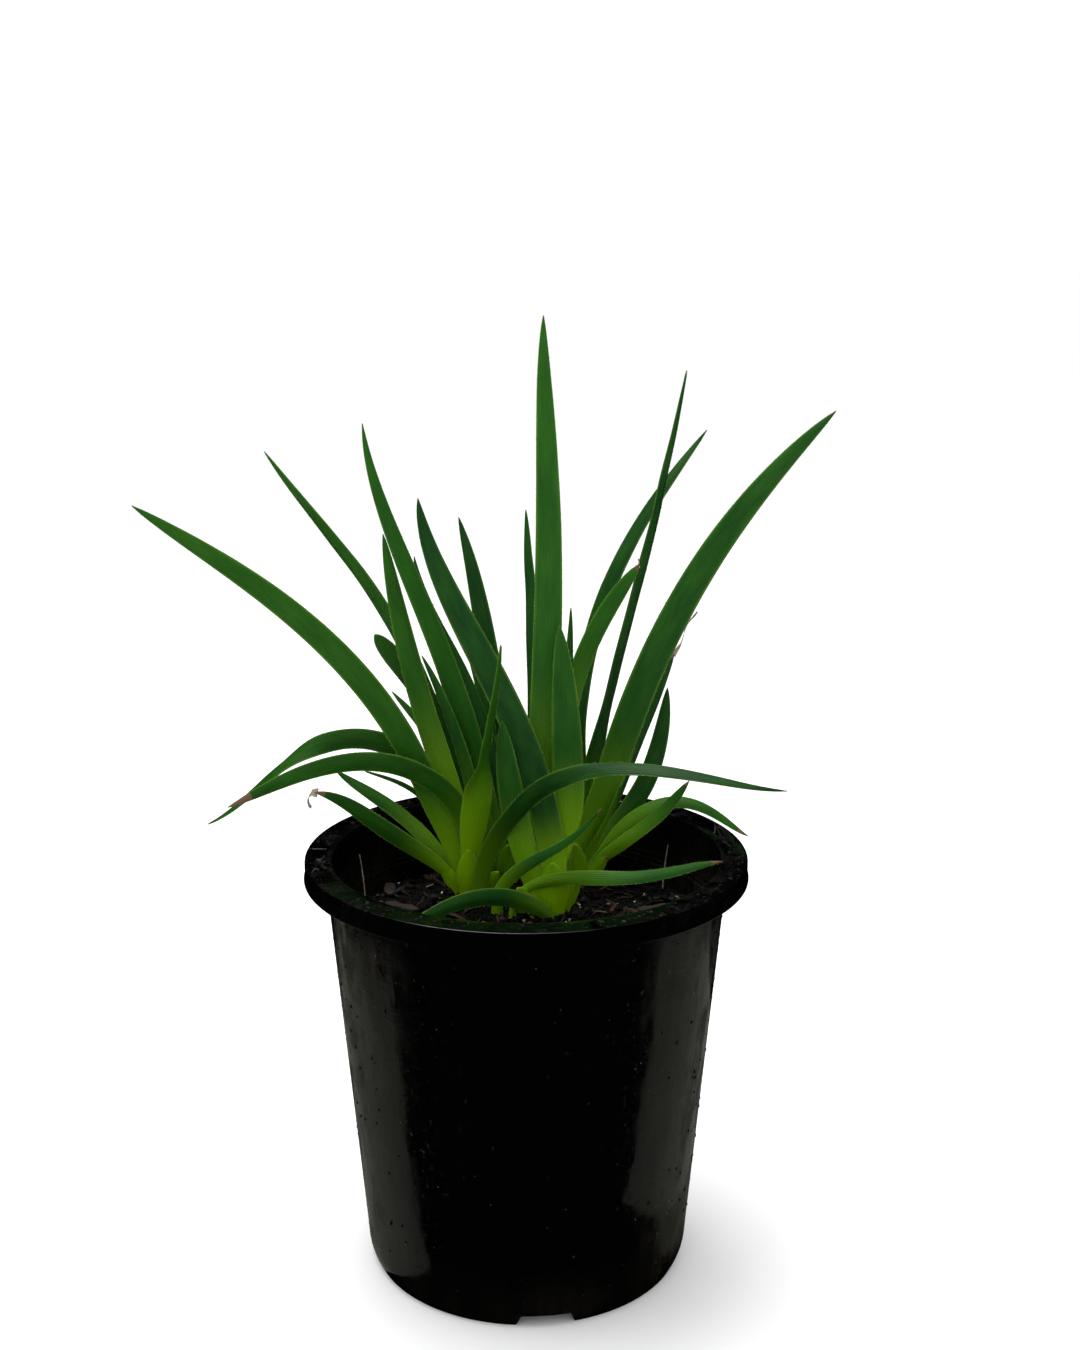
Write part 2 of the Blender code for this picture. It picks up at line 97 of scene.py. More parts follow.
def ring_faces(rows, columns):
    """Quads of a grid that closes on itself: (i, j), (i, j+1), (i+1, j+1), (i+1, j)."""
    row, column = np.meshgrid(np.arange(rows - 1), np.arange(columns), indexing="ij")
    after = (column + 1) % columns
    low, high = row * columns, (row + 1) * columns
    quads = np.stack([low + column, low + after, high + after, high + column], axis=-1)
    return quads.reshape(-1, 4)


def circle(count):
    """Angles in radians, evenly spaced once round."""
    return np.linspace(0, 2 * math.pi, count, endpoint=False)


def upright(radius, angle, height):
    """Points round the vertical axis: x = r cos a, y = r sin a, z = h."""
    return np.stack([radius * np.cos(angle), radius * np.sin(angle), height], axis=-1)


# %% [markdown]
# A skin joins neighbouring rings and closes both ends. Numbers that a finish needs, such as how
# lime a leaf is, ride on the points as attributes.

# %% Closed skins
def skin(name, grid, finish, fields=None, uv=None):
    """A closed skin over grid[row, column] = point. Each end ring is fanned to its mean point.

    fields: arrays with one number for each grid point, kept as attributes for the material.
    uv: one (u, v) for each grid point, in millimetres.
    """
    rows, columns = grid.shape[:2]
    points = np.concatenate([grid.reshape(-1, 3), grid[[0, -1]].mean(axis=1)])
    quads = ring_faces(rows, columns)
    here = np.arange(columns)
    after = (here + 1) % columns
    last = (rows - 1) * columns
    foot = np.stack([after, here, np.full(columns, rows * columns)], axis=1)
    top = np.stack([last + here, last + after, np.full(columns, rows * columns + 1)], axis=1)
    corners = np.concatenate([quads.ravel(), foot.ravel(), top.ravel()])
    sizes = np.concatenate([np.full(len(quads), 4), np.full(2 * columns, 3)])
    mesh = fill_mesh(name, points, corners, sizes)
    for field, values in (fields or {}).items():
        flat = np.concatenate([values.ravel(), values[[0, -1]].mean(axis=1)])
        mesh.attributes.new(field, "FLOAT", "POINT").data.foreach_set("value", flat.astype(np.float32))
    if uv is not None:
        flat = np.concatenate([uv.reshape(-1, 2), uv[[0, -1]].mean(axis=1)])
        layer = mesh.uv_layers.new(name="UVMap")
        layer.data.foreach_set("uv", flat[corners].astype(np.float32).ravel())
    return place(name, mesh, finish)


# %% [markdown]
# Faces have to point outwards. The signed volume inside a closed mesh is negative when it came out
# inside out, so such a mesh is turned before it becomes a piece.

# %% Outward faces
def volume_of(mesh):
    """The signed volume inside a closed mesh: the sum of a . (b x c) / 6 over its triangles."""
    mesh.calc_loop_triangles()
    points = np.empty(len(mesh.vertices) * 3, np.float32)
    mesh.vertices.foreach_get("co", points)
    faces = np.empty(len(mesh.loop_triangles) * 3, np.int32)
    mesh.loop_triangles.foreach_get("vertices", faces)
    a, b, c = points.reshape(-1, 3).astype(float)[faces.reshape(-1, 3)].transpose(1, 0, 2)
    return float((a * np.cross(b, c)).sum() / 6)


def place(name, mesh, finish):
    """The mesh as an object at the origin, with its faces outwards and with its finish."""
    if volume_of(mesh) < 0:
        mesh.flip_normals()
    piece = bpy.data.objects.new(name, mesh)
    mesh.materials.append(finish)
    scene.collection.objects.link(piece)
    return piece


# %% [markdown]
# Natural surfaces need roughness without a visible beat. Lattice noise gives it: random values
# on a square lattice, blended between lattice points with a smooth step. The seed is fixed, so
# the plant is the same at each run.

# %% Lattice noise
def lattice_noise(x, y, size, seed):
    """Smooth noise between -1 and 1: random lattice values, blended by t*t*(3 - 2t)."""
    table = np.random.default_rng(seed).uniform(-1, 1, (64, 64))
    u, v = np.asarray(x) / size, np.asarray(y) / size
    cell_u, cell_v = np.floor(u).astype(int), np.floor(v).astype(int)
    part_u, part_v = u - cell_u, v - cell_v
    part_u, part_v = part_u**2 * (3 - 2 * part_u), part_v**2 * (3 - 2 * part_v)
    value = lambda a, b: table[(cell_u + a) % 64, (cell_v + b) % 64]
    near = value(0, 0) * (1 - part_u) + value(1, 0) * part_u
    far = value(0, 1) * (1 - part_u) + value(1, 1) * part_u
    return near * (1 - part_v) + far * part_v


def smooth_step(value):
    """0 below 0, 1 above 1 and t*t*(3 - 2t) between."""
    value = np.clip(value, 0, 1)
    return value * value * (3 - 2 * value)


# %% [markdown]
# ## Helpers for finishes
# A finish is a node graph: patterns feed the base colour, the roughness and the bump of one
# shader. The small class below keeps each graph short enough to read.

# %% Node graphs
class Finish:
    """A material under construction. Each call adds one node and returns its output socket."""

    def __init__(self, name):
        self.material = bpy.data.materials.new(name)
        self.material.use_nodes = True
        self.nodes = self.material.node_tree.nodes
        self.links = self.material.node_tree.links
        self.shader = self.nodes["Principled BSDF"]

    def node(self, kind, inputs=None, **settings):
        made = self.nodes.new(kind)
        for name, value in settings.items():
            setattr(made, name, value)
        for name, value in (inputs or {}).items():
            if isinstance(value, bpy.types.NodeSocket):
                self.links.new(value, made.inputs[name])
            else:
                made.inputs[name].default_value = value
        return made

    def object_place(self, scale=(1, 1, 1)):
        """Object coordinates, stretched by scale."""
        return self.stretched(self.node("ShaderNodeTexCoord").outputs["Object"], scale)

    def stretched(self, vector, scale):
        return self.node("ShaderNodeMapping", {"Vector": vector, "Scale": scale}).outputs[0]

    def field(self, name):
        return self.node("ShaderNodeAttribute", attribute_name=name).outputs["Fac"]

    def noise(self, vector, scale, detail=4.0, roughness=0.55):
        inputs = {"Vector": vector, "Scale": scale, "Detail": detail, "Roughness": roughness}
        return self.node("ShaderNodeTexNoise", inputs).outputs["Fac"]

    def ramp(self, value, low, high, low_to=0.0, high_to=1.0):
        """value moved from the range low..high to low_to..high_to, and clamped."""
        inputs = {"Value": value, "From Min": low, "From Max": high, "To Min": low_to, "To Max": high_to}
        return self.node("ShaderNodeMapRange", inputs).outputs[0]

    def math(self, operation, first, second=0.0, third=0.0):
        inputs = {0: first, 1: second, 2: third}
        return self.node("ShaderNodeMath", inputs, operation=operation).outputs[0]

    def times(self, first, second):
        return self.math("MULTIPLY", first, second)

    def plus(self, first, second):
        return self.math("ADD", first, second)

    def mix(self, share, first, second):
        """A colour between first and second."""
        made = self.node("ShaderNodeMix", data_type="RGBA")
        for index, value in ((0, share), (6, first), (7, second)):
            if isinstance(value, bpy.types.NodeSocket):
                self.links.new(value, made.inputs[index])
            else:
                made.inputs[index].default_value = value if index == 0 else (*value, 1)
        return made.outputs[2]

    def bump(self, height, distance, strength=1.0, under=None):
        inputs = {"Height": height, "Distance": distance, "Strength": strength}
        if under is not None:
            inputs["Normal"] = under
        return self.node("ShaderNodeBump", inputs).outputs[0]

    def give(self, **sockets):
        """Sets or links the shader's own sockets, named with _ for a space."""
        for name, value in sockets.items():
            socket = self.shader.inputs[name.replace("_", " ")]
            if isinstance(value, bpy.types.NodeSocket):
                self.links.new(value, socket)
            else:
                socket.default_value = value if not isinstance(value, tuple) else (*value, 1)
        return self.material


# %% [markdown]
# ## The pot
# A 200 mm nursery pot is injection moulded in one piece: a tapered wall, a broad flat rim with a
# skirt that turns down, two sunken recesses where a hanger clips in, and notches in the foot so
# that water can leave. A lathe profile gives the wall, and its heights are then changed with the
# angle: lowered in the recesses, raised in the notches. That keeps it one clean surface.

# %% Pot sizes, in millimetres and degrees
POT_HEIGHT = 195.0
RIM_RADIUS = 100.0
RIM_REACH = 9.3
RIM_SKIRT = 9.0
RIM_BEAD = 0.5
WALL = 1.6
WALL_TAPER = 15.7
FOOT_CORNER = 12.0
FOOT_DRAW_IN = 3.4
LIP_OVERHANG = 1.2
FLOOR_LIFT = 6.0
PAD_RADIUS = 12.0
RECESS_ANGLES = (11.5, 191.5)
RECESS_ARC = 27.0
RECESS_DEPTH = 5.0
RECESS_WALL = 1.2
NOTCH_ANGLES = (277.0, 7.0, 97.0, 187.0)
NOTCH_WIDTH = 25.0
NOTCH_HEIGHT = 5.6
MIX_EDGE_HEIGHT = 159.0
foot_radius = RIM_RADIUS - RIM_REACH - WALL_TAPER
print("pot:", POT_HEIGHT, "mm high, foot radius", round(foot_radius, 1), "mm")


def wall_outside(height):
    """The wall's outer radius, a straight taper above the foot's rounded corner."""
    return foot_radius + WALL_TAPER / (POT_HEIGHT - RIM_SKIRT - FOOT_CORNER) * (height - FOOT_CORNER)


def wall_inside(height):
    return wall_outside(height) - WALL


# %% [markdown]
# The profile is a list of corners with a fillet each, in order: up the inside wall, over the
# land and the skirt, down the outside wall and in under the floor.

# %% Pot profile
def rounded(profile, steps=4):
    """Each corner (radius, height, fillet) becomes a short curve between its two sides.

    The curve is (1-t)^2 A + 2t(1-t) B + t^2 C, with A and C a fillet's length from corner B.
    """
    corners = np.array([corner[:2] for corner in profile], float)
    t = np.linspace(0, 1, steps)[:, None]
    line = []
    for index, (radius, height, fillet) in enumerate(profile):
        here = np.array([radius, height])
        if fillet == 0:
            line.append(here[None])
            continue
        before, after = corners[index - 1] - here, corners[index + 1] - here
        start = here + before / np.linalg.norm(before) * min(fillet, np.linalg.norm(before) / 2.1)
        end = here + after / np.linalg.norm(after) * min(fillet, np.linalg.norm(after) / 2.1)
        line.append((1 - t) ** 2 * start + 2 * t * (1 - t) * here + t**2 * end)
    return np.vstack(line)


skirt_foot = POT_HEIGHT - RIM_SKIRT
land_under = POT_HEIGHT - WALL
lip = wall_inside(skirt_foot) - LIP_OVERHANG
foot_inside = foot_radius - FOOT_DRAW_IN - WALL
inside_wall = [(0.5, FLOOR_LIFT + WALL, 0), (wall_inside(FOOT_CORNER) - WALL, FLOOR_LIFT + WALL, 2)]
inside_wall += [(wall_inside(height), height, 0) for height in (FOOT_CORNER + 2, 60, 110, 150)]
for ring in range(3):
    middle = MIX_EDGE_HEIGHT + 8 + 2.6 * ring
    inside_wall += [
        (wall_inside(middle), middle - 0.5, 0.2),
        (wall_inside(middle) - 0.5, middle, 0.2),
        (wall_inside(middle), middle + 0.5, 0.2),
    ]
recess_inner, recess_outer = wall_outside(land_under), RIM_RADIUS - RECESS_WALL
land = [
    (wall_inside(skirt_foot - 4), skirt_foot - 4, 1),
    (lip, land_under - 1.5, 1.5),
    (lip, POT_HEIGHT, 1.0),
    (recess_inner, POT_HEIGHT, 0),
    (recess_inner + 0.3, POT_HEIGHT, 0),
    (recess_outer - 0.3, POT_HEIGHT, 0),
    (recess_outer, POT_HEIGHT, 0),
]
skirt = [
    (RIM_RADIUS, POT_HEIGHT, 0.9),
    (RIM_RADIUS, skirt_foot + 1.7, 0.3),
    (RIM_RADIUS + RIM_BEAD, skirt_foot + 1.0, 0.3),
    (RIM_RADIUS + RIM_BEAD, skirt_foot, 0.4),
    (RIM_RADIUS - WALL, skirt_foot, 0.4),
    (RIM_RADIUS - WALL, land_under, 0.4),
    (wall_outside(land_under) + 0.4, land_under, 0.4),
]
outside_wall = [(wall_outside(height), height, 0) for height in (184, 150, 110, 70, 35, FOOT_CORNER + 4)]
foot = [
    (foot_radius - FOOT_DRAW_IN * share**2, FOOT_CORNER * (1 - share), 0)
    for share in np.linspace(0.1, 1, 8)
]
underside = [
    (foot_inside, 0, 0),
    (foot_inside, FLOOR_LIFT, 0.6),
    (PAD_RADIUS + WALL, FLOOR_LIFT, 0.6),
    (PAD_RADIUS, 0, 0.6),
    (0.5, 0, 0),
]
pot_profile = rounded(inside_wall + land + skirt + outside_wall + foot + underside)
print("pot profile:", len(pot_profile), "points")

# %% [markdown]
# The profile is turned round the axis. Angles are closer together at the edges of the recesses
# and notches, so that these edges come out crisp.

# %% Pot surface
def near(angles, centre):
    """How far each angle is from a centre, between -180 and 180 degrees."""
    return (angles - centre + 180) % 360 - 180


def pot_surface(angles):
    """The lathe profile at every angle, lowered in the hanger recesses and raised in the notches.

    x = r cos a, y = r sin a, z = h(r, a): h drops by the recess depth where the land's inner
    points lie within the recess arc, and is at least the notch height where |a| is in a notch.
    """
    radius, height = (np.repeat(column[:, None], len(angles), 1) for column in pot_profile.T)
    recess = np.zeros(len(angles))
    for centre in RECESS_ANGLES:
        recess += smooth_step((RECESS_ARC / 2 + 0.35 - abs(near(angles, centre))) / 0.35)
    on_floor = (radius > recess_inner + 0.1) & (radius < recess_outer - 0.1) & (height > land_under)
    under = (radius > recess_inner) & (radius < RIM_RADIUS - WALL + 0.1)
    under &= abs(height - land_under) < 0.5
    height = height - RECESS_DEPTH * recess * (on_floor | under)
    for centre in NOTCH_ANGLES:
        sideways = abs(np.radians(near(angles, centre))) * foot_radius
        notch = NOTCH_HEIGHT * smooth_step((NOTCH_WIDTH / 2 + 1.5 - sideways) / 3)
        at_foot = (radius > foot_inside - 0.5) & (height < FOOT_CORNER)
        notch = notch * (abs(near(angles, centre)) < 30)
        height = np.where(at_foot, np.maximum(height, notch), height)
    turn = np.radians(angles)
    return np.stack([radius * np.cos(turn), radius * np.sin(turn), height], axis=-1)


edges = [
    centre + side * (RECESS_ARC / 2 + step)
    for centre in RECESS_ANGLES
    for side in (-1, 1)
    for step in (0, 0.12, 0.24, 0.35)
]
notch_half = math.degrees(NOTCH_WIDTH / 2 / foot_radius)
edges += [
    centre + side * (notch_half + step)
    for centre in NOTCH_ANGLES
    for side in (-1, 1)
    for step in (-1.1, -0.6, -0.2, 0.2, 0.6, 1.1)
]
pot_angles = np.unique(np.round(np.concatenate([np.arange(0, 360, 1.5), np.array(edges) % 360]), 3))
print("angles round the pot:", len(pot_angles))


# %% [markdown]
# The plastic is glossy black. Its two flanks, left and right as the camera sees them, carry a thin olive
# film in streaks and blotches.
# The film is partly dust that rain has washed and partly a painted reflection of the pale floor. It also
# makes the flanks less glossy. The rim stays clean.

# %% Black plastic
def black_plastic():
    """Glossy black, slightly wavy, with fine scratches, drips and specks, and a film of dust and painted
    reflection on the flanks.
    """
    finish = Finish("black_plastic")
    place_node = finish.object_place()
    cloud = finish.noise(place_node, 22.0, 6.0, 0.68)
    streak = finish.noise(finish.object_place((150, 150, 12)), 1.0, 5.0, 0.65)
    scratch = finish.noise(finish.object_place((60, 60, 900)), 1.0, 3.0, 0.5)
    speck = finish.noise(place_node, 420.0, 3.0, 0.7)
    axes = finish.node("ShaderNodeSeparateXYZ", {"Vector": place_node})
    sideways = finish.math("ABSOLUTE", axes.outputs["X"])
    blotch = finish.noise(finish.object_place((1, 1, 0.55)), 75.0, 5.0, 0.62)
    dusty = finish.ramp(cloud, 0.36, 0.62, 0.25, 1.0)
    dusty = finish.times(dusty, finish.ramp(streak, 0.34, 0.62, 0.3, 1.0))
    dusty = finish.times(dusty, finish.ramp(blotch, 0.36, 0.6, 0.15, 1.0))
    # painted reflection: this mask puts the olive film on the left and right flanks as the camera sees
    # them, where the pale floor would reflect; the blotches in it are dust
    flank_dust_and_sheen = finish.ramp(sideways, 0.046, 0.078, 0.0, 1.0)
    low = finish.ramp(axes.outputs["Z"], 0.03, 0.0, 0.0, 0.3)
    dust_and_painted_sheen = finish.times(dusty, finish.math("MAXIMUM", flank_dust_and_sheen, low))
    dust_and_painted_sheen = finish.times(dust_and_painted_sheen, finish.ramp(axes.outputs["Z"], 0.168, 0.182, 1.0, 0.06))
    specks = finish.ramp(sideways, 0.0, 0.08, 0.25, 0.8)
    specks = finish.times(finish.ramp(speck, 0.7, 0.74), specks)
    # the olive colour is partly dust and partly a painted reflection of the floor on the flanks
    colour = finish.mix(dust_and_painted_sheen, (0.0004, 0.0005, 0.0007), (0.024, 0.021, 0.012))
    colour = finish.mix(specks, colour, (0.05, 0.045, 0.035))
    on_rim = finish.ramp(axes.outputs["Z"], 0.1935, 0.1945, 0.0, 0.03)
    smear = finish.ramp(sideways, 0.03, 0.07, 0.2, 1.0)
    smear = finish.times(finish.ramp(blotch, 0.4, 0.6), smear)
    rough = finish.math("MULTIPLY_ADD", smear, 0.26, 0.05)
    rough = finish.plus(finish.plus(rough, finish.times(dust_and_painted_sheen, 0.4)), on_rim)
    wave = finish.bump(finish.noise(finish.object_place((30, 30, 12)), 1.0, 3.0, 0.5), 0.0012)
    fine = finish.bump(finish.ramp(scratch, 0.55, 0.75), 0.00004, 0.6, wave)
    grit = finish.bump(finish.ramp(speck, 0.62, 0.74), 0.0003, 0.6, fine)
    return finish.give(Base_Color=colour, Roughness=rough, Normal=grit, IOR=1.46)


def pot_piece():
    """Rows run back along the profile and columns round the pot, so that faces point outwards."""
    grid = pot_surface(pot_angles)
    return skin("nursery_pot", grid[::-1], black_plastic())


pot = pot_piece()
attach(pot, "root")
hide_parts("pot")
print("pot:", len(pot.data.polygons), "faces")

# %% [markdown]
# ## The potting mix
# The mix is composted bark, almost black when wet. Its bed is a polar grid that rises a little
# towards the plant and is roughened by noise at three sizes.

# %% Mix bed
MIX_RISE = 3.0
PLUG_GAP = 0.6
BED_GAP = 0.3
mix_radius = wall_inside(MIX_EDGE_HEIGHT) - BED_GAP


def mix_height(x, y):
    """The bed's height: a low dome plus noise of 14, 5 and 2 mm, which fades at the wall."""
    share = np.minimum(np.hypot(x, y) / mix_radius, 1)
    rough = lattice_noise(x, y, 14, 1) + 0.7 * lattice_noise(x, y, 5, 2)
    rough = rough + 0.45 * lattice_noise(x, y, 2.1, 3)
    return MIX_EDGE_HEIGHT + MIX_RISE * (1 - share**2) + rough * (1 - share**10)


def mix_finish():
    finish = Finish("bark_mix")
    place_node = finish.object_place()
    coarse = finish.noise(place_node, 120.0, 5.0, 0.7)
    fine = finish.noise(place_node, 600.0, 4.0, 0.7)
    wet, damp = (0.0006, 0.0005, 0.0004), (0.0025, 0.0018, 0.0013)
    colour = finish.mix(finish.ramp(coarse, 0.35, 0.7), wet, damp)
    colour = finish.mix(finish.ramp(fine, 0.62, 0.72), colour, (0.010, 0.007, 0.005))
    bump = finish.bump(fine, 0.0006, 0.8, finish.bump(coarse, 0.0015))
    rough = finish.ramp(fine, 0.3, 0.7, 0.6, 0.95)
    return finish.give(Base_Color=colour, Roughness=rough, Normal=bump, Specular_IOR_Level=0.15)


def mix_piece():
    """Rings from the foot of the plug, up its side and in over the bed to the middle."""
    turn = np.radians(np.arange(0, 360, 1.0))
    side_heights = np.array([8.2, 60, 120, MIX_EDGE_HEIGHT - 0.5])
    side_radius = wall_inside(np.maximum(side_heights, FOOT_CORNER)) - PLUG_GAP
    radius = np.concatenate([side_radius, mix_radius * (1 - np.linspace(0, 0.99, 100))])
    x, y = radius[:, None] * np.cos(turn), radius[:, None] * np.sin(turn)
    height = mix_height(x, y)
    height[: len(side_heights)] = side_heights[:, None]
    return skin("potting_mix_bed", np.stack([x, y, height], axis=-1), mix_finish())


mix = mix_piece()
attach(mix, "root")
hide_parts("potting_mix", "rhizome")
print("mix:", len(mix.data.polygons), "faces")

# %% [markdown]
# Loose bits lie on the bed: crumbs of bark, longer slivers, and a few pale grains. Each kind is
# one small shape, repeated with its own place, size and turn, and joined into one piece.

# %% One bit
def lump():
    """An icosahedron: 12 corners and 20 faces, a cheap shape to repeat many times."""
    golden = (1 + math.sqrt(5)) / 2
    points = np.array([(-1, golden, 0), (1, golden, 0), (-1, -golden, 0), (1, -golden, 0),
                       (0, -1, golden), (0, 1, golden), (0, -1, -golden), (0, 1, -golden),
                       (golden, 0, -1), (golden, 0, 1), (-golden, 0, -1), (-golden, 0, 1)]) / 1.9
    faces = np.array([(0, 11, 5), (0, 5, 1), (0, 1, 7), (0, 7, 10), (0, 10, 11), (1, 5, 9), (5, 11, 4),
                      (11, 10, 2), (10, 7, 6), (7, 1, 8), (3, 9, 4), (3, 4, 2), (3, 2, 6), (3, 6, 8),
                      (3, 8, 9), (4, 9, 5), (2, 4, 11), (6, 2, 10), (8, 6, 7), (9, 8, 1)])
    return points, faces


# %% [markdown]
# Each bit is turned on its own: first to any heading, then tilted by a limited amount, because
# most bits lie nearly flat.

# %% Turns
def turns(chance, count, tilt):
    """One rotation matrix for each bit: any heading, then a tilt of up to so many degrees."""
    heading = chance.uniform(0, 2 * math.pi, count)
    lean, roll = np.radians(chance.uniform(-tilt, tilt, (2, count)))
    zero, one = np.zeros(count), np.ones(count)
    stack = lambda *rows: np.moveaxis(np.array(rows), -1, 0)
    c, s = np.cos(heading), np.sin(heading)
    about_z = stack([c, -s, zero], [s, c, zero], [zero, zero, one])
    c, s = np.cos(lean), np.sin(lean)
    about_y = stack([c, zero, s], [zero, one, zero], [-s, zero, c])
    c, s = np.cos(roll), np.sin(roll)
    about_x = stack([one, zero, zero], [zero, c, -s], [zero, s, c])
    return about_z @ about_y @ about_x


# %% [markdown]
# One finish serves every kind of bit. It blends between two tones by a number that each bit
# carries, so that neighbours differ.

# %% Looks of the bits
# The darkest and the lightest tone of each kind of bit, and its roughness.
BIT_LOOKS = {
    "mix_crumbs": ((0.001, 0.0008, 0.0006), (0.006, 0.0045, 0.003), 0.85),
    "bark_slivers": ((0.002, 0.0015, 0.001), (0.060, 0.028, 0.014), 0.75),
    "dark_bark": ((0.001, 0.001, 0.0012), (0.006, 0.0055, 0.006), 0.5),
    "pale_slivers": ((0.05, 0.032, 0.02), (0.34, 0.25, 0.17), 0.8),
    "pale_grains": ((0.3, 0.29, 0.26), (0.6, 0.6, 0.56), 0.8),
    "dried_drops": ((0.01, 0.01, 0.009), (0.10, 0.10, 0.09), 0.6),
    "wall_crumbs": ((0.001, 0.0008, 0.0006), (0.008, 0.006, 0.004), 0.8),
    "rim_crumbs": ((0.001, 0.001, 0.001), (0.02, 0.017, 0.012), 0.7),
    "heaped_crumbs": ((0.001, 0.0008, 0.0006), (0.012, 0.008, 0.005), 0.85),
}
UNEVEN = 0.25


def bit_finish(name, dark, light, roughness):
    """Bark or mineral: the bit's own tone between two colours, with a fine grain."""
    finish = Finish(name)
    grain = finish.noise(finish.object_place(), 700.0, 4.0, 0.7)
    colour = finish.mix(finish.field("tone"), dark, light)
    colour = finish.mix(finish.ramp(grain, 0.5, 0.75), colour, tuple(0.4 * part for part in dark))
    rough = finish.ramp(grain, 0.3, 0.7, roughness - 0.15, roughness)
    bump = finish.bump(grain, 0.0004)
    return finish.give(Base_Color=colour, Roughness=rough, Normal=bump, Specular_IOR_Level=0.2)


# %% [markdown]
# All the bits of a kind are made at once as one array and joined into one piece, which is far
# quicker than one object each.

# %% Scattered bits
def scatter(name, centres, sizes, rotations, seed):
    """Bits at the centres: point = centre + turn (size * (corner + noise)), all at once."""
    corners, faces = lump()
    chance = np.random.default_rng(seed)
    noise = chance.uniform(-UNEVEN, UNEVEN, (len(centres), len(corners), 1))
    shapes = corners[None] * (1 + noise) * sizes[:, None]
    points = (np.einsum("nij,nkj->nki", rotations, shapes) + centres[:, None]).reshape(-1, 3)
    joined = (faces[None] + len(corners) * np.arange(len(centres))[:, None, None]).reshape(-1, 3)
    mesh = fill_mesh(name, points, joined.ravel(), np.full(len(joined), 3))
    mesh.shade_flat()
    tone = np.repeat(chance.uniform(0, 1, len(centres)), len(corners)).astype(np.float32)
    mesh.attributes.new("tone", "FLOAT", "POINT").data.foreach_set("value", tone)
    return place(name, mesh, bit_finish(name + "_look", *BIT_LOOKS[name]))


def on_mix(chance, count, lift):
    """Random places on the bed, evenly by area, with the centre a little above the bed."""
    radius = (mix_radius - 2.5) * np.sqrt(chance.uniform(0, 1, count))
    turn = chance.uniform(0, 2 * math.pi, count)
    x, y = radius * np.cos(turn), radius * np.sin(turn)
    return np.stack([x, y, mix_height(x, y) + lift], axis=1)


# %% [markdown]
# Five kinds lie over the whole bed: many dark crumbs, brown slivers, glossier dark bark, and a
# few pale slivers and grains of mineral that catch the eye.

# %% Crumbs, slivers and grains
chance = np.random.default_rng(11)
KINDS = {  # how many, length, width, thickness, most tilt in degrees, height above the bed
    "mix_crumbs": (3600, (0.4, 1.6), (0.4, 1.2), (0.4, 1.1), 50, 0.3),
    "bark_slivers": (300, (2.0, 6.0), (0.5, 1.6), (0.3, 0.8), 30, 0.9),
    "dark_bark": (170, (2.5, 7.0), (1.0, 3.0), (0.6, 1.3), 30, 0.9),
    "pale_slivers": (110, (0.8, 3.4), (0.3, 0.9), (0.25, 0.5), 40, 1.3),
    "pale_grains": (60, (0.3, 0.8), (0.3, 0.7), (0.3, 0.6), 60, 1.1),
}
for name, (count, *spans, tilt, lift) in KINDS.items():
    sizes = np.stack([chance.uniform(*span, count) for span in spans], axis=1)
    bits = scatter(name, on_mix(chance, count, lift), sizes, turns(chance, count, tilt), 5)
    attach(bits, "root")
    print(name, count)

# %% [markdown]
# The pot has been outdoors. Dried drops and splashes of mix cling to its wall and rim, most of
# them on the two flanks.

# %% Splashes on the pot
FLANKS = (196, 344)
FLANK_SPREAD = 26
ANYWHERE = 0.35
RIM_CRUMBS = 150


def on_wall(count):
    """Places on the wall: x = r cos a, y = r sin a at a height h, with a near one of the flanks."""
    flank = np.where(chance.uniform(0, 1, count) < 0.5, *FLANKS) + chance.normal(0, FLANK_SPREAD, count)
    anywhere = chance.uniform(0, 1, count) < ANYWHERE
    angle = np.radians(np.where(anywhere, chance.uniform(0, 360, count), flank))
    height = chance.uniform(13, 182, count)
    return angle, upright(wall_outside(height) + 0.08, angle, height)


def flat_on_wall(angle):
    """Turns that lay each bit's thin side along the wall's outward direction."""
    zero, one = np.zeros(len(angle)), np.ones(len(angle))
    c, s = np.cos(angle), np.sin(angle)
    return np.moveaxis(np.array([[-s, zero, c], [c, zero, s], [zero, one, zero]]), -1, 0)


SPLASHES = {  # how many, width, height and thickness
    "dried_drops": (260, (0.12, 0.35), (0.12, 0.5), (0.12, 0.3)),
    "wall_crumbs": (130, (0.4, 1.1), (0.4, 1.2), (0.12, 0.3)),
}
for name, (count, *spans) in SPLASHES.items():
    angle, places = on_wall(count)
    sizes = np.stack([chance.uniform(*span, count) for span in spans], axis=1)
    bits = scatter(name, places, sizes, flat_on_wall(angle), 7)
    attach(bits, "root")
    print(name, count)

# %% [markdown]
# Crumbs also lie on the flat land of the rim, and on the lower floor of its two recesses.

# %% Crumbs on the rim
angle = np.radians(chance.uniform(0, 360, RIM_CRUMBS))
radius = chance.uniform(RIM_RADIUS - 9, RIM_RADIUS - 1.5, RIM_CRUMBS)
from_recess = [abs(near(np.degrees(angle), centre)) for centre in RECESS_ANGLES]
lowered = (np.min(from_recess, axis=0) < RECESS_ARC / 2 + 1) & (radius > recess_inner + 1)
places = upright(radius, angle, POT_HEIGHT + 0.1 - np.where(lowered, RECESS_DEPTH, 0))
sizes = chance.uniform(0.3, 1.3, (RIM_CRUMBS, 3)) * (1.0, 0.8, 0.5)
rim_bits = scatter("rim_crumbs", places, sizes, turns(chance, RIM_CRUMBS, 12), 8)
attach(rim_bits, "root")
print("rim_crumbs", RIM_CRUMBS)

# %% [markdown]
# Watering has washed crumbs against the feet of the shoots, so each shoot stands in a low heap.

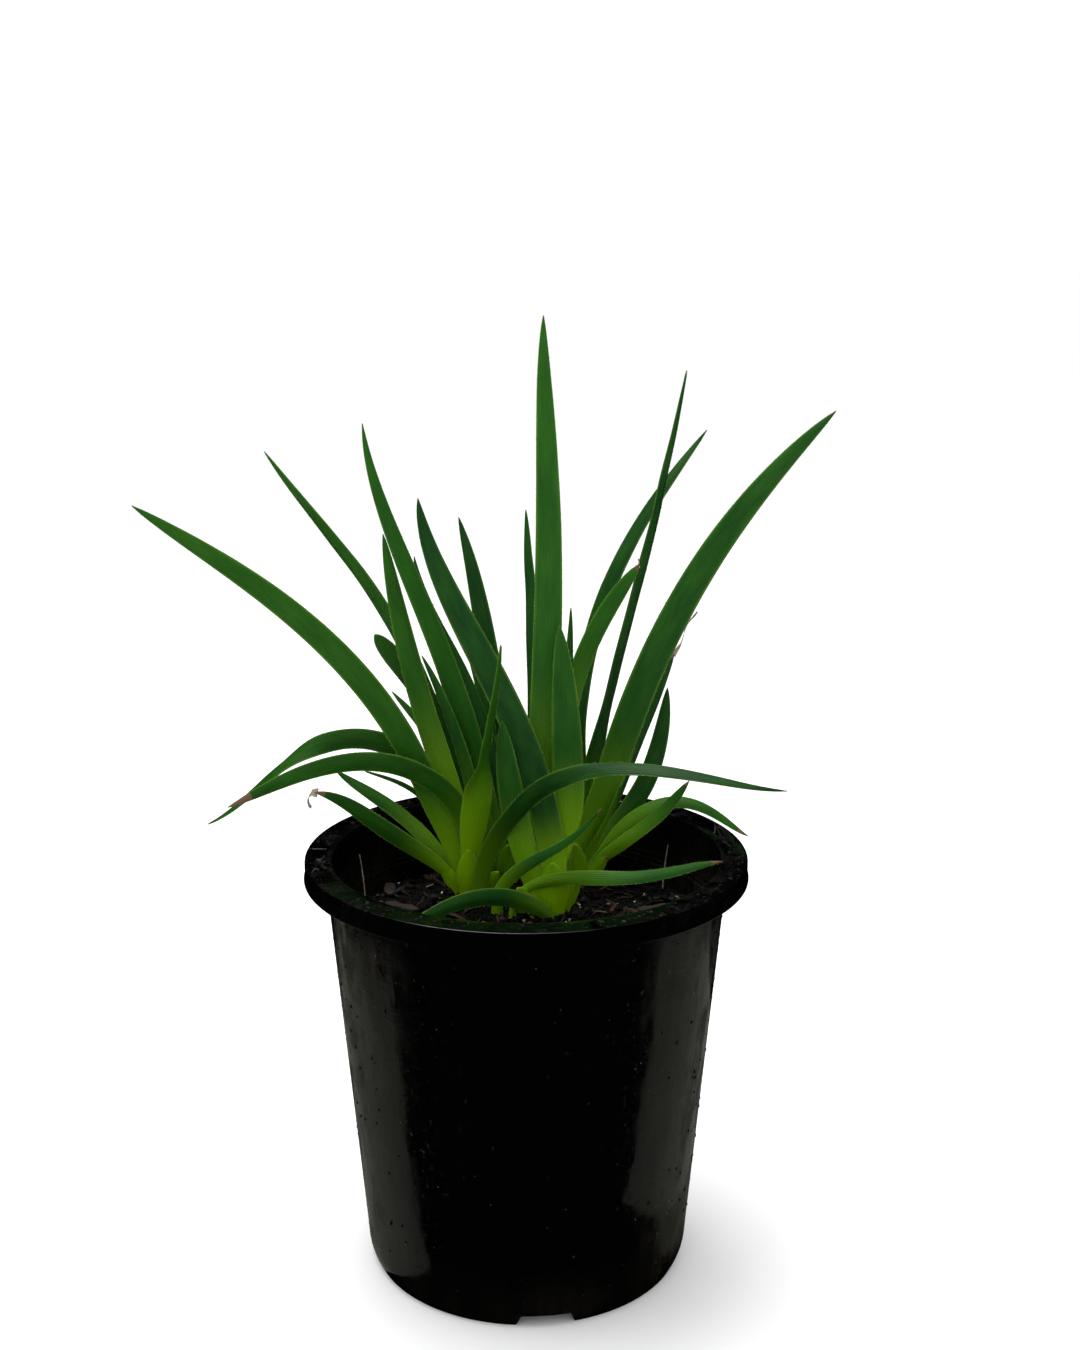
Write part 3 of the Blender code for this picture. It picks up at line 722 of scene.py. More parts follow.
# %% Crumbs round the shoots
CROWNS = {"leaf_left": (-27, 33), "leaf_back": (-9, 50), "leaf_centre": (11, 9), "leaf_right": (24, 47)}
HEAP_CRUMBS = 330
HEAP_REACH = 13
HEAP_HEIGHT = 3.2
places = []
for crown_x, crown_y in CROWNS.values():
    away = HEAP_REACH * np.sqrt(chance.uniform(0.05, 1, HEAP_CRUMBS))
    turn = chance.uniform(0, 2 * math.pi, HEAP_CRUMBS)
    x, y = crown_x + away * 1.2 * np.cos(turn), crown_y + away * np.sin(turn)
    heap = np.maximum(0, 1 - away / (HEAP_REACH + 1)) * HEAP_HEIGHT
    height = mix_height(x, y) + heap * chance.uniform(0, 1, HEAP_CRUMBS)
    places.append(np.stack([x, y, height], axis=1))
places = np.concatenate(places)
sizes = chance.uniform(0.5, 1.9, (len(places), 3)) * (1.0, 0.8, 0.6)
heaps = scatter("heaped_crumbs", places, sizes, turns(chance, len(places), 60), 6)
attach(heaps, "root")
print("heaped crumbs:", len(places))

# %% [markdown]
# Six chips are larger: split bark with torn ends. Each is a tapered, slightly bent slab, and its
# section is a rounded rectangle roughened along the grain. Two dry straws stand by the wall.

# %% Bark chips and straws
CHIP_HALF_WIDTH = 2.6
STRAW_RADIUS = 0.42


def squared(value):
    """A rounded rectangle's share of cos or sin: sign(v) |v|^0.5."""
    return np.sign(value) * np.abs(value) ** 0.5


def chip(name, low, high, heading, finish, seed):
    """A rounded rectangle carried along a bent line, inside the box from low to high."""
    rows, columns = 26, 20
    centre, size = (low + high) / 2, high - low
    along = np.linspace(-0.5, 0.5, rows)[:, None]
    around = circle(columns)[None]
    length = max(size[0], size[1]) * 0.95
    torn = 1 - np.abs(2 * along) ** 5 * 0.6 + 0.16 * lattice_noise(along * 30, around * 2, 3, seed)
    wide = CHIP_HALF_WIDTH * torn * (1 + 0.25 * lattice_noise(along * 20, 0 * around, 4, seed + 1))
    tall = 0.42 * size[2] * torn
    forward = along * length * (1 + 0.06 * lattice_noise(around * 6, along * 0, 2, seed + 2))
    across = wide * squared(np.cos(around))
    up = tall * squared(np.sin(around)) + 0.5 * along**2 * size[2]
    turn = math.radians(heading)
    x = centre[0] + forward * math.cos(turn) - across * math.sin(turn)
    y = centre[1] + forward * math.sin(turn) + across * math.cos(turn)
    return skin(name, np.stack([x, y, centre[2] - 0.6 + up], axis=-1), finish)


def bark_finish():
    finish = Finish("split_bark")
    grain = finish.noise(finish.object_place((240, 900, 700)), 1.0, 5.0, 0.7)
    colour = finish.mix(finish.ramp(grain, 0.35, 0.7), (0.008, 0.005, 0.004), (0.055, 0.028, 0.016))
    rough = finish.ramp(grain, 0.3, 0.7, 0.9, 0.6)
    return finish.give(Base_Color=colour, Roughness=rough, Normal=finish.bump(grain, 0.0006))


def straw_finish():
    finish = Finish("dry_straw")
    grain = finish.noise(finish.object_place((900, 900, 90)), 1.0, 3.0, 0.6)
    colour = finish.mix(grain, (0.16, 0.14, 0.10), (0.42, 0.38, 0.27))
    return finish.give(Base_Color=colour, Roughness=finish.ramp(grain, 0.3, 0.7, 0.85, 0.65))


# %% [markdown]
# Each chip and straw takes its place and size from the simple solid that it stands for, so that
# it stays where the simulator has it.

# %% Chips and straws in their places
bark, straw = bark_finish(), straw_finish()
for number, heading in enumerate((25, 110, 150, 40, 75, 95), 1):
    low, high = (np.array(corner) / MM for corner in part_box(f"bark_chip_{number}"))
    made = chip(f"bark_piece_{number}", low, high, heading, bark, 30 + number)
    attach(made, "root")
    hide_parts(f"bark_chip_{number}")
for number in (1, 2):
    low, high = (np.array(corner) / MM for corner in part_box(f"straw_{number}"))
    t, around = np.linspace(0, 1, 30)[:, None], circle(8)[None]
    foot_x, way, part_y = (high[0], -1, 0.4) if number == 1 else (low[0], 1, 1.0)
    x = foot_x + way * (high[0] - low[0] - 0.6) * t**1.6 * 0.9
    y = low[1] + 0.45 + (part_y * (high[1] - low[1]) - 0.9) * t**1.6 * 0.9
    radius = STRAW_RADIUS * (1 - 0.6 * t) * (1 + 0.2 * lattice_noise(t * 30, 0 * t, 2, number))
    z = low[2] - 1 + (high[2] - low[2]) * t
    ring_x, ring_y = x + radius * np.cos(around), y + radius * np.sin(around)
    points = np.stack(np.broadcast_arrays(ring_x, ring_y, z), axis=-1)
    made = skin(f"dry_straw_{number}", points, straw)
    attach(made, "root")
    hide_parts(f"straw_{number}")
    print(made.name, len(made.data.polygons), "faces")

# %% [markdown]
# ## The leaves
# A kangaroo paw has long flat leaves. Each one is a blade carried along a curved centre line:
# the lean changes smoothly from the foot to the tip, and the heading may turn. The numbers in
# the table are the design of the plant, one line for each leaf, in the order of its shoot.

# %% Leaf design values
# foot (x, y), length, headings, leans at the foot, one third, two thirds and tip, width,
# twist (degrees, from share, to share), taper
LEAVES = {
    "leaf_left_1": ((-16.5, 14), 184.3, (-50, -3), (2, 47.5, 89.5, 92.5), 9, (-58, 0.3, 0.6), 3),
    "leaf_left_2": ((-29, 26), 130, (-58, -58), (11, 16, 18, 8), 13.5, (70, 0.36, 0.56)),
    "leaf_left_3": ((-38, 29), 82, (200, 190), (24, 47, 50, 80), 9),
    "leaf_left_4": ((-27, 31), 160, (195, 195), (-14, 44, 96, 112), 10),
    "leaf_left_5": ((-34, 34), 241.4, (190, 190), (9, 29, 49, 55), 12.5, (16, 0.2, 0.6)),
    "leaf_left_6": ((-25.5, 37), 172, (180, 140), (7, 18, 15.5, 13), 11.5),
    "leaf_left_7": ((-35, 43), 179, (180, 180), (3, 43, 118, 114), 10.5, (70, 0.55, 0.75)),
    "leaf_left_8": ((-36, 47), 77, (170, 170), (39, 42, 58, 50), 8, (40, 0.15, 0.5)),
    "leaf_left_9": ((-26.5, 50), 130.5, (165, 165), (-4, 12.5, 35, 40), 10, (0, 0, 1), 22),
    "leaf_left_10": ((-30, 53), 74, (165, 165), (28, 30, 62, 75), 7, (-50, 0.15, 0.5)),
    "leaf_left_11": ((-25, 56), 232, (158, 158), (14, 21, 39, 38), 11, (-40, 0.1, 0.4)),
    "leaf_left_12": ((-20, 58.5), 101, (155, 155), (6, 24, 42, 48), 8, (50, 0.15, 0.5)),
    "leaf_back_1": ((-16, 46), 116, (190, 190), (10, 14, 18, 28), 9.5, (-42, 0.2, 0.5)),
    "leaf_back_2": ((-12.5, 50), 227.5, (190, 190), (13, 15, 21.5, 5), 12, (34, 0.2, 0.5), 3),
    "leaf_back_3": ((-9, 53), 162, (178, 172), (12.5, 10.5, 26, 5), 10, (45, 0.2, 0.5)),
    "leaf_back_4": ((-12, 58), 140, (163, 157), (6, 5, 14, 34), 8.5, (45, 0.2, 0.5)),
    "leaf_back_5": ((-6.5, 65), 173.5, (172, 172), (12, 5, 9, 15), 12, (-22, 0.3, 0.7)),
    "leaf_back_6": ((4, 64), 174, (85, 125), (6, 6, 6, 6), 11, (-47, 0.15, 0.4)),
    "leaf_centre_1": ((8.5, -2), 70, (200, 215), (53, 76, 97, 98), 8.5),
    "leaf_centre_2": ((-3, 2), 104, (-18, -18), (8, 82, 76, 78), 7, (-45, 0.25, 0.6)),
    "leaf_centre_3": ((-10, 7), 76, (-30, -30), (0, 50, 50, 38), 5.6, (-40, 0.2, 0.6), 2.2),
    "leaf_centre_4": ((15, 12), 199, (170, 170), (5, 19, 28, 6), 14),
    "leaf_centre_5": ((20, 17), 130, (185, 185), (1, 1, 3, 5), 15),
    "leaf_centre_6": ((4, 13), 88, (180, 180), (14, 12, 8, 5), 13),
    "leaf_centre_7": ((10, 24), 266.8, (180, 180), (9, -2.5, 1, -0.5), 13.5, (14, 0.3, 0.8)),
    "leaf_centre_8": ((18, 30), 134, (75, 75), (4, 4, 4, 4), 9, (52, 0.2, 0.5)),
    "leaf_right_1": ((28, 42), 52, (-5, -5), (22, 22, 16, 15), 6, (55, 0.1, 0.5)),
    "leaf_right_2": ((26.5, 46), 255.3, (-8, -8), (14, 19, 32, 46), 14.5, (-16, 0.2, 0.6)),
    "leaf_right_3": ((36, 49), 65, (-12, -12), (36, 43, 40, 34), 8, (-40, 0.15, 0.5)),
    "leaf_right_4": ((36, 52.5), 93, (-8, -8), (48, 38, 103, 116), 7, (-45, 0.15, 0.5)),
    "leaf_right_5": ((35, 56), 97, (10, 10), (27, 28, 15, 4), 10),
    "leaf_right_6": ((32.5, 59.5), 113, (8, 8), (14, 19, 22, 22), 10, (37, 0.15, 0.5)),
    "leaf_right_7": ((20, 53), 160, (-5, -5), (1, 0, 20, 36), 9, (0, 0, 1), 12),
    "leaf_right_8": ((25, 63), 246, (-12, -12), (4, 13, 13, 10), 10.5, (58, 0.1, 0.35)),
    "leaf_right_9": ((23, 67), 228, (18, 18), (4, 5, 27, 40), 10.5, (-44, 0.1, 0.35)),
}

# %% [markdown]
# Young leaves are lime a long way up, and old ones have a dead tip. Each whole leaf is also painted
# darker by the shade it stands in.
# These numbers say how far each leaf has gone, and how much painted shade it takes.

# %% How each leaf looks
# How lime its foot is, how far up that goes (mm), its darkness (painted shade over the whole blade), how
# long its dead tip is (mm), and how much its foot flares. A leaf that isn't listed has the first values.
LOOKS = {
    "": (0.6, 45, 0.5, 0.5, 0.8),
    "leaf_left_1": (0.4, 45, 1.0, 1, 1.1),
    "leaf_left_2": (0.95, 70, 0.25, 1, 0.6),
    "leaf_left_3": (0.6, 36, 0.7, 5, 0.7),
    "leaf_left_4": (0.5, 50, 0.6, 12, 1.0),
    "leaf_left_5": (0.75, 50, 0.3, 1, 0.6),
    "leaf_left_6": (0.9, 90, 0.3, 1, 0.6),
    "leaf_left_7": (0.5, 40, 0.6, 1, 0.6),
    "leaf_left_9": (0.4, 30, 0.6, 0, 0.6),
    "leaf_left_11": (0.5, 60, 0.4, 1, 1.0),
    "leaf_back_1": (0.6, 70, 0.5, 2, 1.0),
    "leaf_back_2": (0.5, 60, 0.1, 0.5, 1.0),
    "leaf_back_3": (0.4, 50, 0.7, 1, 1.0),
    "leaf_back_5": (0.3, 50, 0.75, 1, 1.0),
    "leaf_back_6": (0.4, 50, 0.6, 1, 1.0),
    "leaf_centre_1": (0.25, 22, 0.65, 0.5, 1.1),
    "leaf_centre_2": (0.45, 60, 0.35, 5, 0.7),
    "leaf_centre_3": (0.5, 30, 0.5, 3, 1.3),
    "leaf_centre_4": (0.95, 42, 0.75, 1, 1.05),
    "leaf_centre_5": (1.0, 66, 0.4, 0.5, 0.4),
    "leaf_centre_6": (0.7, 50, 0.4, 0, 0.8),
    "leaf_centre_7": (0.65, 100, 0.2, 0.5, 1.2),
    "leaf_centre_8": (0.4, 50, 0.7, 1, 1.0),
    "leaf_right_1": (0.5, 50, 0.5, 1, 0.8),
    "leaf_right_2": (0.5, 80, 0.6, 1, 0.55),
    "leaf_right_3": (0.6, 50, 0.55, 3, 0.7),
    "leaf_right_4": (0.6, 60, 0.4, 6, 1.0),
    "leaf_right_5": (0.4, 40, 0.75, 1, 0.8),
    "leaf_right_6": (0.4, 40, 0.7, 3, 0.8),
    "leaf_right_7": (0.8, 110, 0.2, 3, 0.7),
    "leaf_right_8": (0.5, 60, 0.8, 2, 1.0),
    "leaf_right_9": (0.5, 60, 0.8, 2, 1.0),
}
LEAF_FOOT = 158.0
PULL_REACH = 55.0
CAD_FOOT = 166.3
print("leaves:", len(LEAVES))

# %% [markdown]
# The centre line starts a little under the mix, so that no foot floats. From the crown up it
# is the curve whose direction is (sin lean cos heading, sin lean sin heading, cos lean).

# %% Centre line and width
HALF_THICKNESS = 0.55
LEAST_WIDTH = 0.5
SUNK_ROWS = 3


def seed_of(name):
    """A fixed seed from the letters of a name."""
    return sum(map(ord, name))


def centre_line(foot, length, headings, leans, rows):
    """Points and directions at equal steps, by adding up short steps along lean and heading."""
    steps = 8
    count = (rows - 1) * steps
    share = (np.arange(count) + 0.5) / count
    curve = np.polyfit(np.linspace(0, 1, 4), leans, 3)
    lean = np.radians(np.polyval(curve, share))
    heading = np.radians(headings[0] + (headings[1] - headings[0]) * share)
    ahead = upright(np.sin(lean), heading, np.cos(lean))
    start = np.array([*foot, CAD_FOOT])
    line = np.vstack([start, start + np.cumsum(ahead * length / count, axis=0)])[::steps]
    return line, np.vstack([ahead[:1], ahead])[::steps]


def blade_width(share, along, width, taper, foot):
    """Fills out from the foot, then narrows: W (1 - s^taper)^0.7, times the foot's own share."""
    filled = 0.75 + 0.25 * np.sin(math.pi / 2 * np.minimum(share / 0.35, 1))
    at_foot = 1 + (foot - 1) * (1 - smooth_step(along / 45))
    narrowed = np.maximum(1 - share**taper, 0) ** 0.7
    return np.maximum(width * filled * at_foot * narrowed, LEAST_WIDTH)


# %% [markdown]
# A blade is a thin, slightly folded strip round its centre line. Many leaves of a kangaroo paw
# twist near the foot, so the side direction may turn by some degrees over part of the length.

# %% A blade
def blade(
    name, foot, length, headings, leans, width, twist=(0, 0, 1), taper=4, flare=1.0, pull=(0, 0), rows=120
):
    """A thin blade: point = line + side * half width * cos p + face * (thickness + fold).

    pull: how far the foot is drawn sideways into its shoot, where the blades clasp each other.
    A few rows below the foot go down into the mix. The rows' own values are returned with the
    grid, for the finish and the hairs.
    """
    line, ahead = centre_line(foot, length, headings, leans, rows)
    share = np.linspace(0, 1, rows)
    line[:, :2] += np.array(pull) * (1 - smooth_step(share * length / PULL_REACH))[:, None]
    face = np.array([0.0, -1.0, 0.0]) - ahead * -ahead[:, 1:2]
    face /= np.linalg.norm(face, axis=1, keepdims=True)
    side = np.cross(ahead, face)
    degrees, first, last = twist
    turn = np.radians(degrees * smooth_step((share - first) / (last - first)))[:, None]
    c, s = np.cos(turn), np.sin(turn)
    face, side = face * c + side * s, side * c - face * s
    half = blade_width(share, share * length, width, taper, flare) / 2
    sink = np.array([line[0] - ahead[0] * step for step in (9, 6, 3)])
    sink[:, 2] = np.minimum(sink[:, 2], LEAF_FOOT + np.array([0, 3, 5.5]))
    line = np.vstack([sink, line])
    stretch = lambda values: np.concatenate([np.repeat(values[:1], SUNK_ROWS, axis=0), values])
    face, side, half, share = stretch(face), stretch(side), stretch(half), stretch(share)
    around = circle(32)
    across, up = np.cos(around), np.sin(around)
    along, wide = share * length, half[:, None]
    ripple = lattice_noise(along[:, None], across[None] * 3 + 9, 22, seed_of(name))
    ripple = ripple * 0.5 * np.minimum(wide / 4, 1)
    fold = 0.16 * wide * (1 - 0.6 * share[:, None]) * (np.abs(across) ** 1.5 - 0.4)
    thick = np.minimum(HALF_THICKNESS, wide) * np.sign(up) * np.abs(up) ** 0.6
    height = thick * (1 - 0.5 * across**2) - fold + ripple * np.abs(across) ** 1.2
    grid = line[:, None] + side[:, None] * (wide * across)[..., None] + face[:, None] * height[..., None]
    edges = np.stack([line - side * wide, line + side * wide])
    return grid, share, along, across, half, edges, side, stretch(ahead)


# %% [markdown]
# ## The leaf finish
# The blade is satin and dark green, with fine parallel veins and a pale, hairy margin. Its foot
# is lime where little light reached it, and the very tip has dried out brown. The blade's own
# UV map is in millimetres, so the veins keep their spacing on a wide leaf and a narrow one.

# %% Leaf finish
def leaf_finish(name, hue):
    finish = Finish(name)
    uv = finish.node("ShaderNodeUVMap", uv_map="UVMap").outputs[0]
    across = finish.node("ShaderNodeSeparateXYZ", {"Vector": uv}).outputs["X"]
    grain = finish.noise(finish.stretched(uv, (1.6, 0.035, 1)), 1.0, 3.0, 0.6)
    patch = finish.noise(finish.stretched(uv, (0.12, 0.03, 1)), 1.0, 3.0, 0.6)
    speck = finish.noise(finish.stretched(uv, (2.2, 1.6, 1)), 1.0, 2.0, 0.7)
    vein = finish.math("SINE", finish.times(finish.plus(across, finish.times(grain, 0.4)), 7.5))
    deep, bright, lime = hue
    # painted shade: the dark attribute darkens a whole blade by how much it stands in the shade of other
    # leaves
    shade = finish.math("SUBTRACT", finish.ramp(patch, 0.25, 0.75, 0.3, 1.1), finish.field("dark"))
    colour = finish.mix(finish.ramp(shade, -0.4, 0.9), deep, bright)
    furrow = tuple(0.45 * part for part in deep)
    colour = finish.mix(finish.times(finish.ramp(vein, -1, 1), 0.35), colour, furrow)
    colour = finish.mix(finish.ramp(finish.field("lime"), 0.0, 1.0), colour, lime)
    edge = finish.times(finish.field("margin"), finish.ramp(grain, 0.35, 0.6, 0.1, 0.4))
    colour = finish.mix(edge, colour, (0.16, 0.32, 0.02))
    dusty = finish.times(finish.ramp(speck, 0.74, 0.8), 0.35)
    colour = finish.mix(dusty, colour, (0.25, 0.27, 0.2))
    ragged = finish.times(finish.ramp(grain, 0.3, 0.7), 0.25)
    dead = finish.ramp(finish.plus(finish.field("dead"), ragged), 0.45, 0.75)
    colour = finish.mix(dead, colour, (0.13, 0.075, 0.04))
    rough = finish.ramp(patch, 0.3, 0.7, 0.34, 0.5)
    bump = finish.bump(vein, 0.00006, 0.6, finish.bump(grain, 0.0002, 0.5))
    return finish.give(Base_Color=colour, Roughness=rough, Normal=bump, Specular_IOR_Level=0.2)


HUES = {
    "leaf_left": ((0.005, 0.045, 0.003), (0.028, 0.150, 0.002), (0.21, 0.42, 0.001)),
    "leaf_back": ((0.005, 0.045, 0.008), (0.022, 0.135, 0.004), (0.14, 0.34, 0.001)),
    "leaf_centre": ((0.004, 0.042, 0.008), (0.026, 0.155, 0.003), (0.22, 0.46, 0.001)),
    "leaf_right": ((0.005, 0.046, 0.006), (0.027, 0.155, 0.003), (0.18, 0.40, 0.001)),
}
finishes = {slot: leaf_finish(slot + "_green", hue) for slot, hue in HUES.items()}
print("leaf finishes:", ", ".join(finishes))

# %% [markdown]
# The margins carry short stiff hairs that point towards the tip. Each hair is a slim pyramid of
# four corners. All the hairs of one shoot are joined into one piece.

# %% Margin hairs
def margin_hairs(edges, side, ahead, length, seed):
    """Root corners and point of each hair: root = edge at a share, point = root + out + forward."""
    chance = np.random.default_rng(seed)
    roots, outs, fronts = [], [], []
    shares = np.linspace(0, 1, edges.shape[1] - SUNK_ROWS)
    for number, sign in ((0, -1), (1, 1)):
        at = np.sort(chance.uniform(0.06, 0.985, int(length * 0.75)))
        pick = lambda rows: np.stack([np.interp(at, shares, axis) for axis in rows[SUNK_ROWS:].T], axis=1)
        roots.append(pick(edges[number]))
        outs.append(sign * pick(side))
        fronts.append(pick(ahead))
    roots, outs, fronts = map(np.concatenate, (roots, outs, fronts))
    size = chance.uniform(0.25, 0.65, (len(roots), 1))
    up = np.cross(outs, fronts)
    tip = roots + (outs * 0.75 + fronts * 0.8 + up * chance.uniform(-0.4, 0.4, (len(roots), 1))) * size
    inner = roots - outs * 0.15
    corners = [inner - fronts * 0.1 + up * 0.07, inner + fronts * 0.1 + up * 0.07, inner - up * 0.09, tip]
    return np.stack(corners, axis=1)


def hair_piece(name, corners, finish):
    faces = np.array([(0, 2, 1), (0, 1, 3), (1, 2, 3), (2, 0, 3)])
    joined = (faces[None] + 4 * np.arange(len(corners))[:, None, None]).reshape(-1, 3)
    mesh = fill_mesh(name, corners.reshape(-1, 3), joined.ravel(), np.full(len(joined), 3))
    return place(name, mesh, finish)


hairs = {}
hair_look = Finish("pale_hair")
tone = hair_look.noise(hair_look.object_place(), 90.0)
hair_colour = hair_look.mix(tone, (0.05, 0.10, 0.02), (0.42, 0.50, 0.22))
hair_finish = hair_look.give(Base_Color=hair_colour, Roughness=hair_look.ramp(tone, 0.3, 0.7, 0.5, 0.8))

# %% [markdown]
# In a real shoot the feet clasp each other, which solids that may not overlap can't do. So each
# foot is drawn part of the way to its shoot's crown, and a few shifts close the fans.

# %% Leaf pieces
PULL = {  # the share of the way to the crown, and a shift in x (mm)
    "leaf_left": (0.5, -0.5),
    "leaf_back": (0.2, 0.0),
    "leaf_centre": (0.2, 0.0),
    "leaf_right": (0.35, -3.5),
    "leaf_centre_1": (0.0, 0.0),
    "leaf_centre_2": (0.0, -3.0),
    "leaf_centre_3": (0.0, -3.5),
    "leaf_centre_4": (0.0, -1.0),
    "leaf_centre_5": (0.0, -6.5),
    "leaf_right_2": (0.3, -5.0),
}


def leaf_skin(name, slot, grid, along, across, half, lime, dead, dark):
    """The skin of a blade with what its finish reads: four numbers for each row, and a UV map."""
    margin = smooth_step((np.abs(across) - 0.8) / 0.18)
    fields = {"lime": lime[:, None], "margin": margin, "dead": dead[:, None], "dark": dark}
    fields = {field: values + np.zeros(grid.shape[:2]) for field, values in fields.items()}
    uv = np.stack(np.broadcast_arrays(half[:, None] * across, along[:, None]), axis=-1)
    return skin(name, grid, finishes[slot], fields, uv)


for name, design in LEAVES.items():
    slot = name.rsplit("_", 1)[0]
    lime, reach, dark, tip, flare = LOOKS.get(name, LOOKS[""])
    part_way, shift = PULL.get(name, PULL[slot])
    pull = [part_way * (crown - at) for crown, at in zip(CROWNS[slot], design[0])]
    pull[0] += shift
    grid, _, along, across, half, edges, side, ahead = blade(name, *design, flare=flare, pull=pull)
    hairs.setdefault(slot, []).append(margin_hairs(edges, side, ahead, design[1], seed_of(name)))
    limy = lime * smooth_step(1.15 - along / reach)
    dead = smooth_step((along - (design[1] - tip - 1)) / 2.5) * (tip > 0)
    blade_name = name.replace("leaf", "blade")
    piece = leaf_skin(blade_name, slot, grid, along, across, half, limy, dead, dark)
    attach(piece, "root")
    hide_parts(name)
print("blades:", len(LEAVES))

# %% [markdown]
# Three tips have dried into thin brown curls: one long thread, one loop and one small hook. Each
# is a ribbon that starts at the blade's end and turns steadily as it goes.

# %% Dry tips
dry = Finish("dry_tip")
dry_grain = dry.noise(dry.object_place((900, 900, 900)), 1.0, 4.0, 0.7)
dry_colour = dry.mix(dry_grain, (0.10, 0.055, 0.035), (0.42, 0.34, 0.25))
dry_rough = dry.ramp(dry_grain, 0.3, 0.7, 0.65, 0.9)
dry_finish = dry.give(Base_Color=dry_colour, Roughness=dry_rough, Normal=dry.bump(dry_grain, 0.0003))


def curl(name, start, lean, turn_by, length, width, wave):
    """A ribbon that twists as it goes: direction angle = lean + turn * t + wave * sin(3 pi t)."""
    t = np.linspace(0, 1, 60)
    angle = np.radians(lean + turn_by * t + wave * np.sin(3 * math.pi * t))
    ahead = np.stack([np.sin(angle), 0.25 * np.sin(5 * t), np.cos(angle)], axis=1)
    line = start + np.cumsum(ahead, axis=0) * length / len(t) - ahead[0] * length / len(t)
    roll = 2.2 * t + 0.4
    side = np.stack([np.cos(angle) * np.cos(roll), np.sin(roll), -np.sin(angle) * np.cos(roll)], axis=1)
    face = np.cross(side, ahead)
    half = width / 2 * (1 - 0.75 * t**0.6) * (1 + 0.3 * lattice_noise(t * 40, 0 * t, 3, 8))
    half = np.maximum(half, 0.14)[:, None, None]
    around = circle(10)[None, :, None]
    grid = line[:, None] + side[:, None] * half * np.cos(around) + face[:, None] * 0.16 * np.sin(around)
    piece = skin(name, grid, dry_finish)
    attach(piece, "root")


CURLS = {  # turn in degrees, length, width and wave in degrees
    "leaf_right_6": (6, 25, 3.4, 12),
    "leaf_left_3": (-150, 11, 5.0, 0),
    "leaf_right_7": (-60, 4, 3.4, 0),
}
for name, design in CURLS.items():
    line, ahead = centre_line(*LEAVES[name][:4], 60)
    lean = math.degrees(math.atan2(ahead[-1][0], ahead[-1][2]))
    curl(name.replace("leaf", "dry_tip"), line[-1] - 1.5 * ahead[-1], lean, *design)
    print("dry tip on", name)

# %% [markdown]
# Short pale sheaths wrap the foot of each shoot. They are old leaves that stayed small, and they
# are made like the blades.

# %% Sheaths
SHEATHS = (  # foot, length, heading, lean at the foot and tip, width, shoot
    ((12, 3), 24, -90, (14, 4), 12.5, "leaf_centre"),
    ((3, 3), 15, 215, (26, 48), 7.5, "leaf_centre"),
    ((-3, 6), 11, 200, (34, 60), 6.5, "leaf_centre"),
    ((18, 7), 17, -20, (20, 30), 6.0, "leaf_centre"),
    ((-27, 27), 22, -90, (14, 6), 10.5, "leaf_left"),
    ((-33, 31), 14, 200, (30, 42), 6.0, "leaf_left"),
    ((-20, 28), 13, -30, (30, 45), 6.0, "leaf_left"),
    ((23, 41), 20, -90, (12, 8), 10.0, "leaf_right"),
    ((30, 44), 14, -10, (30, 45), 6.0, "leaf_right"),
    ((-9, 45), 18, -90, (12, 8), 9.0, "leaf_back"),
)
for number, (foot_at, length, heading, (low_lean, top_lean), width, slot) in enumerate(SHEATHS, 1):
    design = foot_at, length, (heading, heading), np.linspace(low_lean, top_lean, 4), width
    name = f"sheath_{number}"
    grid, share, *rest = blade(name, *design, taper=3, flare=1.25, rows=40)
    dead = smooth_step((share - 0.86) / 0.12) * (number % 3 == 0)
    piece = leaf_skin(name, slot, grid, *rest[:3], 1.0 - 0.35 * share, dead, 0.3)
    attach(piece, "root")

for slot, parts in hairs.items():
    piece = hair_piece(slot.replace("leaf", "hairs"), np.concatenate(parts), hair_finish)
    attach(piece, "root")
    print(piece.name, len(piece.data.polygons) // 4)

# %% [markdown]
# ## Floor and light
# A plain pale floor under a pale sky, with one broad soft light from above and behind on the
# left. Three cards of light lie on the floor and are seen by reflections only: they draw the long
# soft strips down the pot's flanks. Reflections see neither the floor nor the sky, so that the
# plastic between the strips stays black.

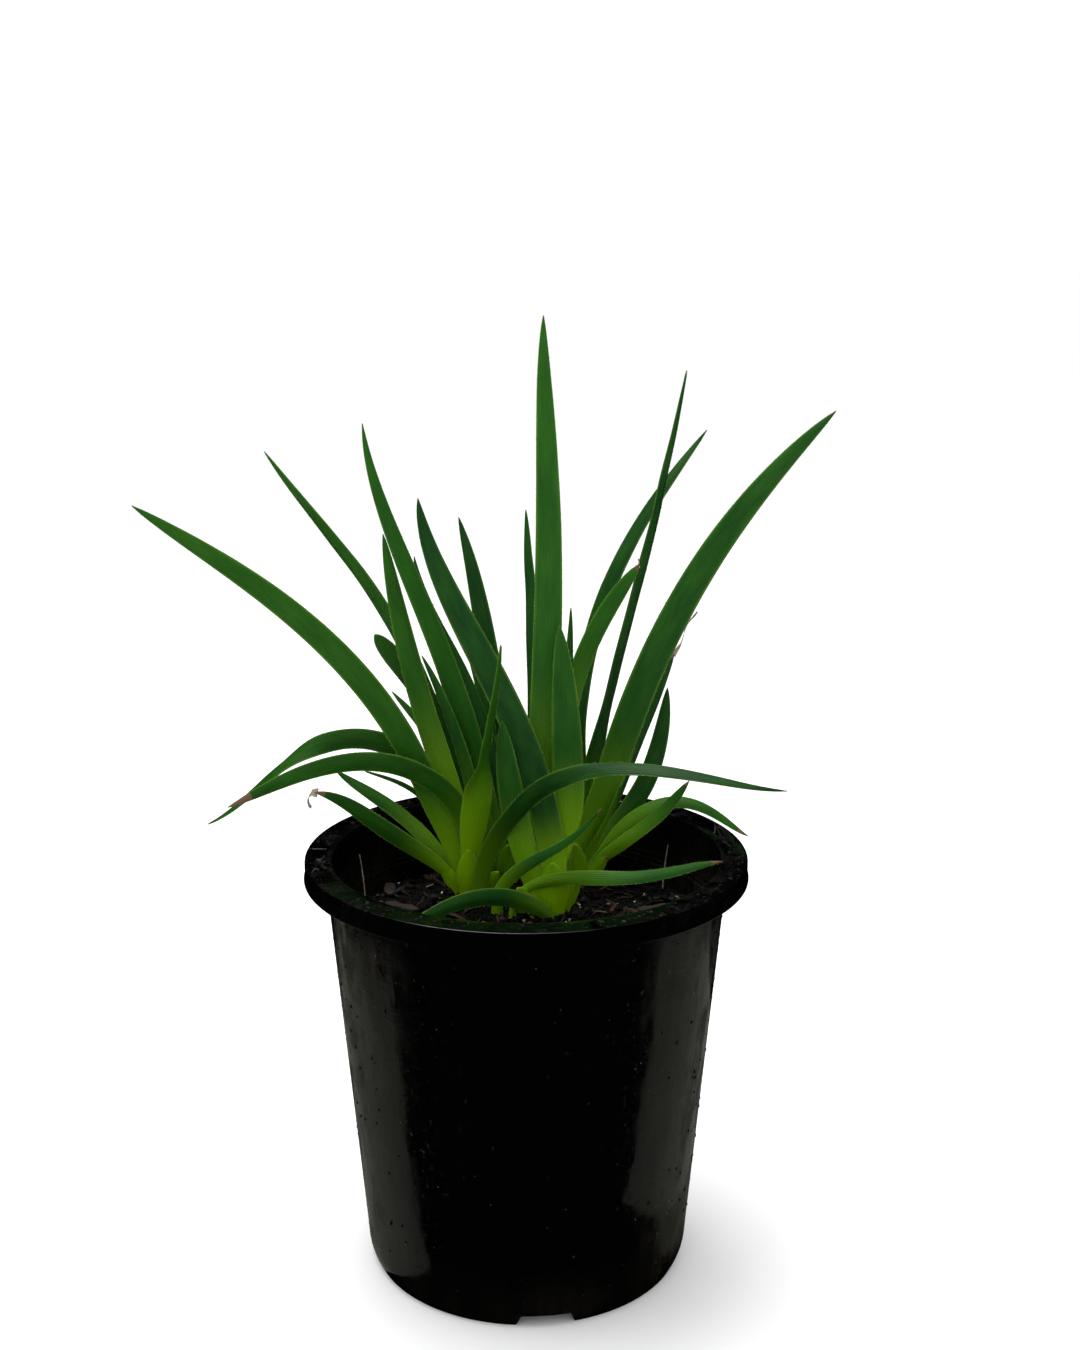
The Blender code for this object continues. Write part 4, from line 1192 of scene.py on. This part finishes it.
# %% Floor
floor_mesh = bpy.data.meshes.new("floor")
FLOOR_HALF = 30
floor_corners = [(x * FLOOR_HALF, y * FLOOR_HALF, 0) for x, y in ((-1, -1), (1, -1), (1, 1), (-1, 1))]
floor_mesh.from_pydata(floor_corners, [], [(0, 1, 2, 3)])
floor = bpy.data.objects.new("floor", floor_mesh)
paper = Finish("pale_floor")
paper.give(Base_Color=(0.95, 0.95, 0.95), Roughness=1.0, Specular_IOR_Level=0.0)
floor_mesh.materials.append(paper.material)
scene.collection.objects.link(floor)
floor.visible_glossy = False
print("floor:", 2 * FLOOR_HALF, "m wide")


# %% [markdown]
# Area lights give soft shadows. The three cards are numbers in a table, because only their
# places, sizes and strengths differ.

# %% Lights
def soft_light(name, place_at, aim, size, power, colour=(1, 1, 1)):
    """A rectangular area light that looks at a point."""
    data = bpy.data.lights.new(name, "AREA")
    data.shape = "RECTANGLE"
    data.size, data.size_y = size
    data.energy = power
    data.color = colour
    light = bpy.data.objects.new(name, data)
    light.location = place_at
    direction = np.array(aim) - np.array(place_at)
    direction /= np.linalg.norm(direction)
    heading = math.atan2(direction[1], direction[0]) - math.pi / 2
    light.rotation_euler = (math.acos(-direction[2]), 0, heading)
    scene.collection.objects.link(light)
    return light


CARD_HEIGHT = 0.003
CARDS = {  # middle (x, y), size, power and colour
    "left_card": ((-0.200, 0.10), (0.27, 0.34), 0.05, (1, 1, 0.86)),
    "right_card": ((0.255, 0.07), (0.29, 0.32), 0.055, (1, 1, 0.86)),
    "right_low_card": ((0.094, 0.05), (0.032, 0.17), 0.0014, (1, 1, 0.80)),
}
SKY_STRENGTH = 1.06
soft_light("overhead", (-0.3, 0.2, 1.7), (0, 0, 0.25), (1.4, 1.0), 22)
for name, ((x, y), *rest) in CARDS.items():
    card = soft_light(name, (x, y, CARD_HEIGHT), (x, y + 0.001, 1), *rest)
    card.visible_diffuse = False
    card.visible_camera = False
world = bpy.data.worlds.new("sky")
world.use_nodes = True
sky = world.node_tree.nodes["Background"]
sky.inputs["Color"].default_value = (1.0, 1.0, 1.0, 1)
sky.inputs["Strength"].default_value = SKY_STRENGTH
world.cycles_visibility.glossy = False
scene.world = world
scene.view_settings.view_transform = "Standard"
print("cards of light:", ", ".join(CARDS))
